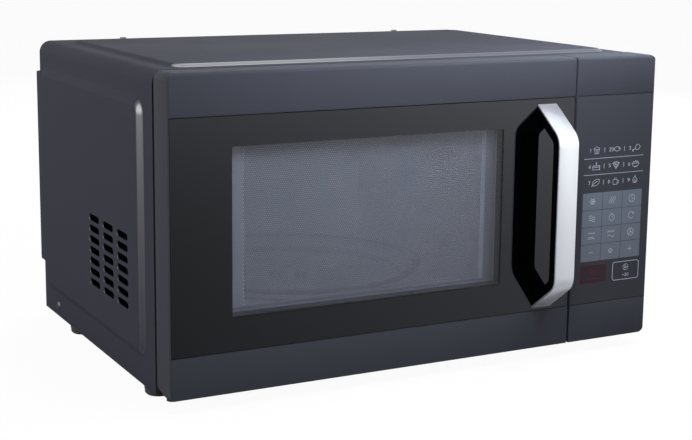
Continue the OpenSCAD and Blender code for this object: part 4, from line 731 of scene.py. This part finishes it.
# Slot: tone, worn tone, and roughness from low to high; drift is the scale at which they change.
# Grain is a scale and a height in millimetres, brush the scale of the lines along X, Y and Z, and
# polish a coat on slopes to the front. Sockets holds the shader's own values.
FINISHES = {
    "cabinet_paint": dict(tone=(0.037, 0.039, 0.051), worn=(0.041, 0.043, 0.056), gloss=(0.48, 0.56),
                          grain=(2600, 0.05), polish=True,
                          sockets={"Specular IOR Level": 0.01, "Coat Roughness": 0.28, "Coat IOR": 1.7}),
    "galvanised": dict(tone=(0.46, 0.47, 0.48), worn=(0.56, 0.57, 0.58), gloss=(0.34, 0.5), drift=40,
                       grain=(700, 0.03), sockets={"Metallic": 0.9}),
    "cavity_steel": dict(tone=(0.40, 0.40, 0.41), worn=(0.46, 0.46, 0.46), gloss=(0.30, 0.38),
                         brush=(30, 30, 1400), sockets={"Metallic": 0.85}),
    "front_plastic": dict(tone=(0.050, 0.053, 0.062), worn=(0.055, 0.058, 0.068), gloss=(0.45, 0.50),
                          grain=(3200, 0.03), sockets={"Specular IOR Level": 0.006}),
    "hinge_black": dict(tone=(0.030, 0.030, 0.031), worn=(0.045, 0.045, 0.046), gloss=(0.3, 0.42),
                        grain=(2000, 0.05), sockets={"Metallic": 0.3}),
    "foot_plastic": dict(tone=(0.022, 0.022, 0.022), worn=(0.034, 0.033, 0.032), gloss=(0.6, 0.75),
                         grain=(1500, 0.1)),
    "front_glass": dict(tone=(0.95, 0.96, 0.98), worn=(0.93, 0.95, 0.97), gloss=(0.0, 0.004),
                        sockets={"Transmission Weight": 1.0, "IOR": 1.36}),
    "black_glass": dict(tone=(0.0006, 0.0007, 0.0010), worn=(0.0008, 0.0009, 0.0013), gloss=(0.0, 0.006),
                        sockets={"Specular IOR Level": 0.85, "Specular Tint": (0.86, 0.89, 0.98, 1)}),
    "clear_glass": dict(tone=(0.86, 0.93, 0.91), worn=(0.84, 0.92, 0.90), gloss=(0.02, 0.05),
                        grain=(60, 0.1), sockets={"Transmission Weight": 1.0, "IOR": 1.47}),
    "film": dict(tone=(0.95, 0.97, 0.97), worn=(0.92, 0.95, 0.95), gloss=(0.05, 0.09),
                 grain=(25, 0.2), sockets={"Transmission Weight": 1.0, "IOR": 1.4}),
    "screen_paint": dict(tone=(0.113, 0.118, 0.138), worn=(0.124, 0.129, 0.150), gloss=(0.42, 0.50),
                         grain=(2600, 0.04), sockets={"Metallic": 0.1, "Specular IOR Level": 0.2}),
    "handle_black": dict(tone=(0.0012, 0.0014, 0.002), worn=(0.0015, 0.0017, 0.0025), gloss=(0.10, 0.15),
                         grain=(300, 0.01), sockets={"Specular IOR Level": 0.008}),
    "handle_metal": dict(tone=(0.82, 0.85, 0.90), worn=(0.86, 0.89, 0.94), gloss=(0.36, 0.42),
                         brush=(60, 60, 1800), sockets={"Metallic": 0.9}),
    "white_plastic": dict(tone=(0.72, 0.72, 0.69), worn=(0.66, 0.65, 0.61), gloss=(0.34, 0.45),
                          grain=(1200, 0.05)),
    "dark_plastic": dict(tone=(0.026, 0.026, 0.028), worn=(0.034, 0.034, 0.036), gloss=(0.38, 0.5),
                         grain=(1800, 0.08)),
    "keypad_sheet": dict(tone=(0.039, 0.042, 0.049), worn=(0.044, 0.047, 0.055), gloss=(0.28, 0.34),
                         grain=(2600, 0.02), sockets={"Specular IOR Level": 0.08}),
    "circuit_board": dict(tone=(0.03, 0.12, 0.06), worn=(0.05, 0.17, 0.09), gloss=(0.3, 0.45),
                          grain=(900, 0.1)),
    "display": dict(tone=(0.008, 0.010, 0.012), worn=(0.010, 0.012, 0.014), gloss=(0.08, 0.12),
                    grain=(600, 0.01)),
    "core_iron": dict(tone=(0.10, 0.095, 0.09), worn=(0.16, 0.15, 0.14), gloss=(0.4, 0.6),
                      brush=(40, 1500, 40), sockets={"Metallic": 0.6}),
    "copper_coils": dict(tone=(0.50, 0.20, 0.08), worn=(0.62, 0.28, 0.12), gloss=(0.25, 0.4),
                         brush=(60, 60, 1600), sockets={"Metallic": 0.8}),
    "motor_steel": dict(tone=(0.42, 0.42, 0.43), worn=(0.50, 0.50, 0.51), gloss=(0.3, 0.45),
                        brush=(60, 60, 1200), sockets={"Metallic": 0.9}),
    "heater_sheath": dict(tone=(0.085, 0.075, 0.07), worn=(0.15, 0.13, 0.115), gloss=(0.45, 0.65), drift=60,
                          grain=(1500, 0.1), sockets={"Metallic": 0.7}),
    "mica": dict(tone=(0.42, 0.35, 0.24), worn=(0.52, 0.44, 0.32), gloss=(0.35, 0.5), drift=60,
                 grain=(500, 0.1)),
    "bulb": dict(tone=(0.95, 0.94, 0.90), worn=(0.93, 0.92, 0.88), gloss=(0.02, 0.06),
                 grain=(40, 0.02), sockets={"Transmission Weight": 1.0, "IOR": 1.45}),
    "zinc_screws": dict(tone=(0.12, 0.12, 0.13), worn=(0.18, 0.18, 0.19), gloss=(0.35, 0.5), drift=200,
                        grain=(1800, 0.05), sockets={"Metallic": 0.95}),
    "plunger_red": dict(tone=(0.50, 0.04, 0.03), worn=(0.56, 0.06, 0.05), gloss=(0.3, 0.4),
                        grain=(1500, 0.05)),
}
CLEAR = ("front_glass", "clear_glass", "film", "bulb")


GROUPS = {"Fine grain": grain_group, "Tone drift": drift_group, "Brushed lines": brush_group,
          "Rubbed slopes": edge_group}
DRIFT_SCALE = 9
INK_WEAR = 1.06
BRUSH_HEIGHT = 0.01
RELIEF_STRENGTH = 0.6
PANE_PASSES = 0.92


def add_group(tree, name, inputs=None):
    """Adds one of the shared groups, which is built on first use."""
    return add_node(tree, "Group", inputs, node_tree=bpy.data.node_groups.get(name) or GROUPS[name]())


def finish(slot, tone=None):
    """Material of a slot, built on first use; tone overrides its colour for a printed ink, or for the
    painted shade of the window's lining.
    """
    name = slot + "_finish"
    if tone:
        name = slot + "_ink_or_shade_" + "_".join(f"{round(1000 * c):03d}" for c in tone)
    made = bpy.data.materials.get(name)
    if made:
        return made
    recipe = FINISHES[slot]
    material = bpy.data.materials.new(name)
    material.use_nodes = True
    tree = material.node_tree
    shader = tree.nodes["Principled BSDF"]
    worn = [INK_WEAR * c for c in tone] if tone else recipe["worn"]
    low, high = recipe["gloss"]
    drift = add_group(tree, "Tone drift", {
        "Scale": recipe.get("drift", DRIFT_SCALE), "Tone": (*(tone or recipe["tone"]), 1),
        "Worn tone": (*worn, 1), "Gloss low": low, "Gloss high": high})
    feed(tree, shader, "Base Color", drift.outputs["Colour"])
    feed(tree, shader, "Roughness", drift.outputs["Roughness"])
    for socket, value in recipe.get("sockets", {}).items():
        feed(tree, shader, socket, value)
    if "brush" in recipe:
        lines = {"Across " + axis: scale for axis, scale in zip("XYZ", recipe["brush"])}
        roughen(tree, shader, add_group(tree, "Brushed lines", lines), BRUSH_HEIGHT)
    elif "grain" in recipe:
        scale, height = recipe["grain"]
        roughen(tree, shader, add_group(tree, "Fine grain", {"Scale": scale}), height)
    if recipe.get("polish"):
        feed(tree, shader, "Coat Weight", add_group(tree, "Rubbed slopes").outputs["Mask"])
    if slot in CLEAR:
        pass_light(tree, shader, recipe["tone"])
    return material


def roughen(tree, shader, relief, height):
    """Feeds a group's height to the shader as fine relief of that many millimetres."""
    bump = add_node(tree, "Bump", {"Height": relief.outputs["Height"], "Distance": height * MM,
                                   "Strength": RELIEF_STRENGTH})
    feed(tree, shader, "Normal", bump.outputs["Normal"])


def pass_light(tree, shader, tone):
    """Lets lamps shine through a clear pane."""
    shadow = add_node(tree, "LightPath").outputs["Is Shadow Ray"]
    through = add_node(tree, "BsdfTransparent", {"Color": (*(PANE_PASSES * c for c in tone), 1)})
    mix = add_node(tree, "MixShader", {"Fac": shadow, 1: shader.outputs["BSDF"], 2: through.outputs["BSDF"]})
    feed(tree, tree.nodes["Material Output"], "Surface", mix.outputs["Shader"])


def seen_ray(tree):
    """1 for camera rays, and for rays seen in gloss or through glass."""
    path = add_node(tree, "LightPath").outputs
    total = path["Is Camera Ray"]
    for label in ("Is Glossy Ray", "Is Transmission Ray"):
        total = add_node(tree, "Math", {0: total, 1: path[label]}, operation="MAXIMUM").outputs["Value"]
    return total


def shade_in_gloss(tree):
    """White, but where gloss shows the floor it has painted shade, a soft grey lane along its left part."""
    spot = add_node(tree, "TexCoord").outputs["Object"]
    x = add_node(tree, "SeparateXYZ", {"Vector": spot}).outputs["X"]
    offset = add_node(tree, "Math", {0: x, 1: -LANE_X}, operation="ADD").outputs["Value"]
    away = add_node(tree, "Math", {0: offset}, operation="ABSOLUTE").outputs["Value"]
    fall = add_node(tree, "MapRange", {"Value": away, "From Max": LANE_REACH, "To Min": LANE_SHADE})
    gloss = add_node(tree, "LightPath").outputs["Is Glossy Ray"]
    mix = add_node(tree, "Mix", {"Factor": gloss, "A": WHITE, "B": fall.outputs["Result"]},
                   data_type="RGBA")
    return mix.outputs["Result"]


# ------------------------------------------------------------------ operators


# Name: place, width and height, power, tint, and whether gloss shows it
LAMPS = {
    "near_top": ((0.15, -0.31, 0.46), (0.8, 0.1), 3.3, (0.93, 0.97, 1.1), False),
    "low_right": ((1.1, -1.6, 0.62), (1.4, 0.7), 5.2, (1, 1, 1), True),
    "left": ((-1.9, 0.2, 0.7), (1.2, 1.0), 24.0, (1, 1, 1), True),
    "overhead": ((0.1, 1.0, 2.1), (2.0, 1.2), 18.0, (1, 1, 1), True),
    "behind": ((1.3, 1.7, 0.9), (1.6, 1.0), 26.0, (1, 1, 1), False),
}
LAMP_AIM = Vector((0, 0, 0.15))
ROOM_LIGHT = (0.14, 0.14, 0.15, 1)
CLIP = 0.05, 50.0
FLOOR_HALF = 12.0
FLOOR_ROUGHNESS = 0.9
FLOOR_GLOW = 0.95
# Painted shade in the floor's reflection: middle, reach and darkest tone of the grey lane
LANE_X, LANE_REACH, LANE_SHADE = -0.4, 1.65, 0.08


class OVEN_OT_stage(bpy.types.Operator):
    """Camera, lamps, floor and background"""

    bl_idname = "oven.stage"
    bl_label = "Stage"

    def execute(self, context):
        s = context.scene.oven_stage
        self.camera(context, s)
        context.scene.view_settings.view_transform = "Standard"
        self.background(context)
        self.floor(s)
        for name, values in LAMPS.items():
            self.lamp(name, *values)
        return {"FINISHED"}

    def camera(self, context, s):
        data = bpy.data.cameras.new("camera")
        data.lens, data.shift_y = s.lens, s.rise
        data.clip_start, data.clip_end = CLIP
        camera = place("camera", data)
        turn = (Matrix.Rotation(-s.heading, 4, "Z") @ Matrix.Rotation(math.pi / 2 - s.tilt, 4, "X")
                @ Matrix.Rotation(s.roll, 4, "Z"))
        camera.matrix_world = Matrix.Translation(Vector(s.place)) @ turn
        context.scene.camera = camera

    def lamp(self, name, spot, size, power, tint, mirrored):
        data = bpy.data.lights.new(name, "AREA")
        data.shape, data.energy, data.color = "RECTANGLE", power, tint
        data.size, data.size_y = size
        lamp = place(name, data)
        lamp.location = spot
        lamp.visible_glossy = mirrored
        lamp.rotation_euler = (LAMP_AIM - Vector(spot)).to_track_quat("-Z", "Y").to_euler()

    def background(self, context):
        world = bpy.data.worlds.new("studio")
        context.scene.world = world
        world.use_nodes = True
        tree = world.node_tree
        mix = add_node(tree, "Mix", {"Factor": seen_ray(tree), "A": ROOM_LIGHT, "B": WHITE},
                       data_type="RGBA")
        feed(tree, tree.nodes["Background"], "Color", mix.outputs["Result"])

    def floor(self, s):
        mesh = bpy.data.meshes.new("floor")
        corners = [(FLOOR_HALF * x, FLOOR_HALF * y, 0) for x, y in ((-1, -1), (1, -1), (1, 1), (-1, 1))]
        mesh.from_pydata(corners, [], [(0, 1, 2, 3)])
        floor = place("floor", mesh)
        material = bpy.data.materials.new("floor")
        material.use_nodes = True
        tree = material.node_tree
        shader = tree.nodes["Principled BSDF"]
        seen = seen_ray(tree)
        tone = add_node(tree, "Mix", {"Factor": seen, "A": (*s.floor, 1), "B": WHITE}, data_type="RGBA")
        feed(tree, shader, "Base Color", tone.outputs["Result"])
        feed(tree, shader, "Roughness", FLOOR_ROUGHNESS)
        # The glow is white to the camera and carries the painted shade where gloss shows the floor
        glow = add_node(tree, "Emission", {"Color": shade_in_gloss(tree)})
        share = add_node(tree, "Math", {0: seen, 1: FLOOR_GLOW}, operation="MULTIPLY")
        mix = add_node(tree, "MixShader", {"Fac": share.outputs["Value"], 1: shader.outputs["BSDF"],
                                           2: glow.outputs["Emission"]})
        feed(tree, tree.nodes["Material Output"], "Surface", mix.outputs["Shader"])
        mesh.materials.append(material)


class OVEN_OT_finishes(bpy.types.Operator):
    """Finish of each part of the frame"""

    bl_idname = "oven.finishes"
    bl_label = "Finishes"

    def execute(self, context):
        for entry in frame["record"]["subparts"]:
            part = frame["nodes"][entry["node"]]
            part.data.materials.clear()
            part.data.materials.append(finish(entry["material_slot"]))
        return {"FINISHED"}


class OVEN_OT_cabinet(bpy.types.Operator):
    """Pressed wrap with its soft fields and air slots"""

    bl_idname = "oven.cabinet"
    bl_label = "Cabinet"

    def execute(self, context):
        s = context.scene.oven_cabinet
        points, faces = wrap_mesh(s)
        wrap = piece_from("cabinet_wrap", points, faces, "chassis", "cabinet_paint")
        shell = wrap.modifiers.new("thickness", "SOLIDIFY")
        shell.thickness, shell.offset = s.thickness, -1.0
        settle(wrap)
        soften_shading(wrap, SHARP_PRESSED)
        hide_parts("outer_cabinet")
        return {"FINISHED"}


WINDOW_CORNER, GLASS_CORNER = 1.5 * MM, 0.6 * MM
BAND_INSET, BAND_GAP = 1.5 * MM, 0.02 * MM
LINER_WIDTH, LINER_LAP = 1.6 * MM, 0.1 * MM
VERTEX_GRID = 0.01 * MM


class OVEN_OT_window(bpy.types.Operator):
    """Black-bordered glass, and the punched screen behind it"""

    bl_idname = "oven.window"
    bl_label = "Window and screen"

    def execute(self, context):
        s = context.scene.oven_door
        self.pane(s)
        self.punched_screen(s)
        return {"FINISHED"}

    def pane(self, s):
        """Clear glass in the middle of a border that is printed black."""
        lo, hi = GLASS
        x0, x1 = LEFT + s.window_left, LEFT + s.window_right
        z0, z1 = lo.z + s.window_low, lo.z + s.window_high
        window = rounded(x0, z0, x1, z1, WINDOW_CORNER)
        points, faces = prism(rounded(lo.x, lo.z, hi.x, hi.z, GLASS_CORNER), [window], lo.y, hi.y)
        piece_from("black_border", points, faces, "door", "black_glass")
        points, faces = prism(window, [], lo.y, hi.y)
        clear = piece_from("clear_window", points, faces, "door", "front_glass")
        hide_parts("door_glass")
        self.band(s)

    def band(self, s):
        """Grey band along the punched part's right and lower sides, and a lining from it to the glass whose
        dark grey is painted shade in the recess.
        """
        lo, hi = SCREEN
        corners = rectangle(lo, hi, -BAND_INSET)
        (x0, _), _, (_, z1), _ = corners
        right, low = LEFT + s.band_right, DOOR[0].z + s.band_low
        outline = corners[:3] + [(right, z1), (right, low), (x0, low)]
        near = lo.y - s.band_thickness - BAND_GAP
        points, faces = prism(outline, [], near, near + s.band_thickness)
        piece_from("window_band", points, faces, "door", "screen_paint", tuple(s.band_grey))
        # The lining's dark grey is painted shade in the recess between the glass and the screen
        points, faces = prism(rectangle(lo, hi, LINER_WIDTH), [rectangle(lo, hi, -LINER_LAP)],
                              GLASS[1].y + LINER_LAP, near - LINER_LAP)
        piece_from("window_shade_liner", points, faces, "door", "screen_paint", tuple(s.liner_shade_grey))

    def punched_screen(self, s):
        """A sheet of six-sided cells, each with a round hole, inside a plain rim."""
        pitch, step = s.hole_pitch, s.hole_pitch * math.sqrt(3) / 2
        x0, x1 = LEFT + s.punched_left, LEFT + s.punched_right
        z0, z1 = DOOR[0].z + s.punched_low, DOOR[0].z + s.punched_high
        columns, rows = int((x1 - x0) / pitch), int((z1 - z0) / step)
        reach = pitch / math.sqrt(3)
        numbers = {}
        points, faces = [], []

        def vertex(x, z):
            key = round(x / VERTEX_GRID), round(z / VERTEX_GRID)
            if key not in numbers:
                numbers[key] = len(points)
                points.append((x, SCREEN[0].y, z))
            return numbers[key]

        for row in range(rows):
            for column in range(columns):
                cx = x0 + (column + 0.5 * (row % 2)) * pitch + pitch / 2
                cz = z0 + row * step + reach
                outer, inner = [], []
                for k in range(6):
                    turn = math.radians(60 * k + 30)
                    outer.append(vertex(cx + reach * math.cos(turn), cz + reach * math.sin(turn)))
                    inner.append(len(points))
                    points.append((cx + s.hole_size / 2 * math.cos(turn), SCREEN[0].y,
                                   cz + s.hole_size / 2 * math.sin(turn)))
                for k in range(6):
                    n = (k + 1) % 6
                    faces.append((outer[k], outer[n], inner[n], inner[k]))
        screen = piece_from("punched_screen", points, faces, "door", "screen_paint")
        self.screen_rim(screen)
        shell = screen.modifiers.new("thickness", "SOLIDIFY")
        shell.thickness, shell.offset = SCREEN[1].y - SCREEN[0].y, -1.0
        settle(screen)
        soften_shading(screen, SHARP)
        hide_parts("door_mesh")

    def screen_rim(self, screen):
        """Joins the punched part to the plain rim of the sheet."""
        work = bmesh.new()
        work.from_mesh(screen.data)
        outline = outer_loop({edge for edge in work.edges if edge.is_boundary})
        corners = [Vector((x, SCREEN[0].y, z)) for x, z in rectangle(*SCREEN)]
        flat = [[Vector((p.x, p.z, 0)) for p in corners], [Vector((v.co.x, v.co.z, 0)) for v in outline]]
        verts = [work.verts.new(p) for p in corners] + outline
        for a, b, c in tessellate_polygon(flat):
            trio = [verts[a], verts[b], verts[c]]
            normal = (trio[1].co - trio[0].co).cross(trio[2].co - trio[0].co)
            if normal.y > 0:
                trio.reverse()
            work.faces.new(trio)
        work.to_mesh(screen.data)
        work.free()


class OVEN_OT_edges(bpy.types.Operator):
    """Mouldings and handle with their hard edges rounded over"""

    bl_idname = "oven.edges"
    bl_label = "Rounded edges"

    def execute(self, context):
        s = context.scene.oven_edges
        for node, name, body, width in (
                ("door_frame", "door_moulding", "door", s.moulding),
                ("control_housing", "panel_moulding", "chassis", s.moulding),
                ("handle_body", "handle_bar", "door", s.handle),
                ("handle_strip", "handle_trim", "door", s.strip)):
            eased_copy(node, name, body, width)
        return {"FINISHED"}


class OVEN_OT_keypad(bpy.types.Operator):
    """Printed key field, food signs, and the stop and start keys"""

    bl_idname = "oven.keypad"
    bl_label = "Keypad"

    def execute(self, context):
        s = context.scene.oven_keypad
        face, x0, z0 = SHEET[0].y, HOUSING[0].x + s.left, HOUSING[0].z
        x1 = x0 + 3 * s.cell_width
        self.key_field(s, face, x0, x1, z0 + s.field_low)
        marks = Print(face - 2 * s.ink, face)
        self.food_rows(s, marks, x0, x1, z0 + s.row_low)
        self.key_signs(s, marks, x0, z0 + s.field_low)
        middle = z0 + (s.key_low + s.key_high) / 2
        self.start_key(s, marks, x1 - s.key_width, x1, z0, middle)
        marks.piece("keypad_marks", s.white)
        self.stop_key(s, face, x0, x0 + s.key_width, z0, middle)
        return {"FINISHED"}

    def key_field(self, s, face, x0, x1, low):
        high = low + 4 * s.cell_height
        field = Print(face - s.ink, face)
        field.patch(rounded(x0, low, x1, high, FIELD_CORNER))
        field.piece("key_field", s.grey)
        seams = Print(face - 1.6 * s.ink, face)
        for row in range(1, 4):
            seams.line([(x0, low + row * s.cell_height), (x1, low + row * s.cell_height)], s.line)
        for column in range(1, 3):
            seams.line([(x0 + column * s.cell_width, low), (x0 + column * s.cell_width, high)], s.line)
        seams.piece("key_seams", s.seam)

    def food_rows(self, s, marks, x0, x1, low):
        for row in range(3):
            z = low + (2 - row) * s.row_step
            for column in range(3):
                x = x0 + (column + 0.5) * s.cell_width
                number = 3 * row + column
                marks.sign(DIGITS[str(number + 1)], x + DIGIT_OFF, z, s.line, FOOD_SIGN_SIZE)
                marks.sign(FOOD_SIGNS[number], x + SIGN_OFF, z, s.line, FOOD_SIGN_SIZE)
            for column in (1, 2):
                x = x0 + column * s.cell_width
                marks.line([(x, z - FOOD_BAR), (x, z + FOOD_BAR)], s.line)
            if row < 2:
                marks.line([(x0, z - s.row_step / 2), (x1, z - s.row_step / 2)], s.line)

    def key_signs(self, s, marks, x0, low):
        for number, strokes in enumerate(KEY_SIGNS):
            row, column = divmod(number, 3)
            middle = x0 + (column + 0.5) * s.cell_width, low + (3.5 - row) * s.cell_height
            marks.sign(strokes, *middle, s.line, KEY_SIGN_SIZE)

    def outline(self, s, ink, x0, x1, z0):
        ink.line(self.key_shape(s, x0, x1, z0), OUTLINE_WIDTH * s.line, True)

    def key_shape(self, s, x0, x1, z0):
        return rounded(x0, z0 + s.key_low, x1, z0 + s.key_high, KEY_CORNER)

    def start_key(self, s, marks, x0, x1, z0, middle):
        self.outline(s, marks, x0, x1, z0)
        x = (x0 + x1) / 2
        marks.sign(START_SIGN, x, middle + START_SIGN_UP, s.line)
        for step, letter in enumerate("+30"):
            marks.sign(DIGITS[letter], x + (step - 1) * DIGIT_STEP, middle - START_DIGITS_DOWN, s.line)

    def stop_key(self, s, face, x0, x1, z0, middle):
        ground = Print(face - s.ink, face)
        ground.patch(self.key_shape(s, x0, x1, z0))
        ground.piece("stop_ground", s.dark_red)
        marks = Print(face - 2 * s.ink, face)
        self.outline(s, marks, x0, x1, z0)
        x = (x0 + x1) / 2
        marks.sign(STOP_SIGN, x, middle + STOP_SIGN_UP, STOP_WIDTH * s.line)
        bar = middle - STOP_BAR_DOWN
        marks.line([(x - STOP_BAR, bar), (x + STOP_BAR, bar)], STOP_WIDTH * s.line)
        marks.piece("stop_marks", s.red)


def outer_loop(edges):
    """Vertices in order round the longest closed loop of the given edges."""
    links = {}
    for edge in edges:
        a, b = edge.verts
        links.setdefault(a, []).append(b)
        links.setdefault(b, []).append(a)
    best, left = [], set(links)
    while left:
        start = next(iter(left))
        loop, last, here = [start], None, start
        while True:
            ahead = [v for v in links[here] if v is not last]
            last, here = here, ahead[0]
            if here is start:
                break
            loop.append(here)
        left -= set(loop)
        if len(loop) > len(best):
            best = loop
    return best


class OVEN_PT_pieces(bpy.types.Panel):
    """Lists the pieces of the oven"""

    bl_idname = "OVEN_PT_pieces"
    bl_label = "Microwave oven"
    bl_space_type = "VIEW_3D"
    bl_region_type = "UI"
    bl_category = "Oven"

    def draw(self, context):
        for step in STEPS:
            self.layout.operator(f"oven.{step}")


STEPS = ("stage", "finishes", "cabinet", "window", "edges", "keypad")
CLASSES = (CabinetSettings, DoorSettings, KeypadSettings, EdgeSettings, StageSettings, OVEN_OT_stage,
           OVEN_OT_finishes, OVEN_OT_cabinet, OVEN_OT_window, OVEN_OT_edges, OVEN_OT_keypad, OVEN_PT_pieces)


SCENE_SETTINGS = {"oven_cabinet": CabinetSettings, "oven_door": DoorSettings, "oven_keypad": KeypadSettings,
                  "oven_edges": EdgeSettings, "oven_stage": StageSettings}


def register():
    for item in CLASSES:
        bpy.utils.register_class(item)
    for name, group in SCENE_SETTINGS.items():
        setattr(bpy.types.Scene, name, PointerProperty(type=group))


def unregister():
    for name in SCENE_SETTINGS:
        delattr(bpy.types.Scene, name)
    for item in reversed(CLASSES):
        bpy.utils.unregister_class(item)


def main():
    register()
    for step in STEPS:
        getattr(bpy.ops.oven, step)()


if __name__ == "__main__":
    main()
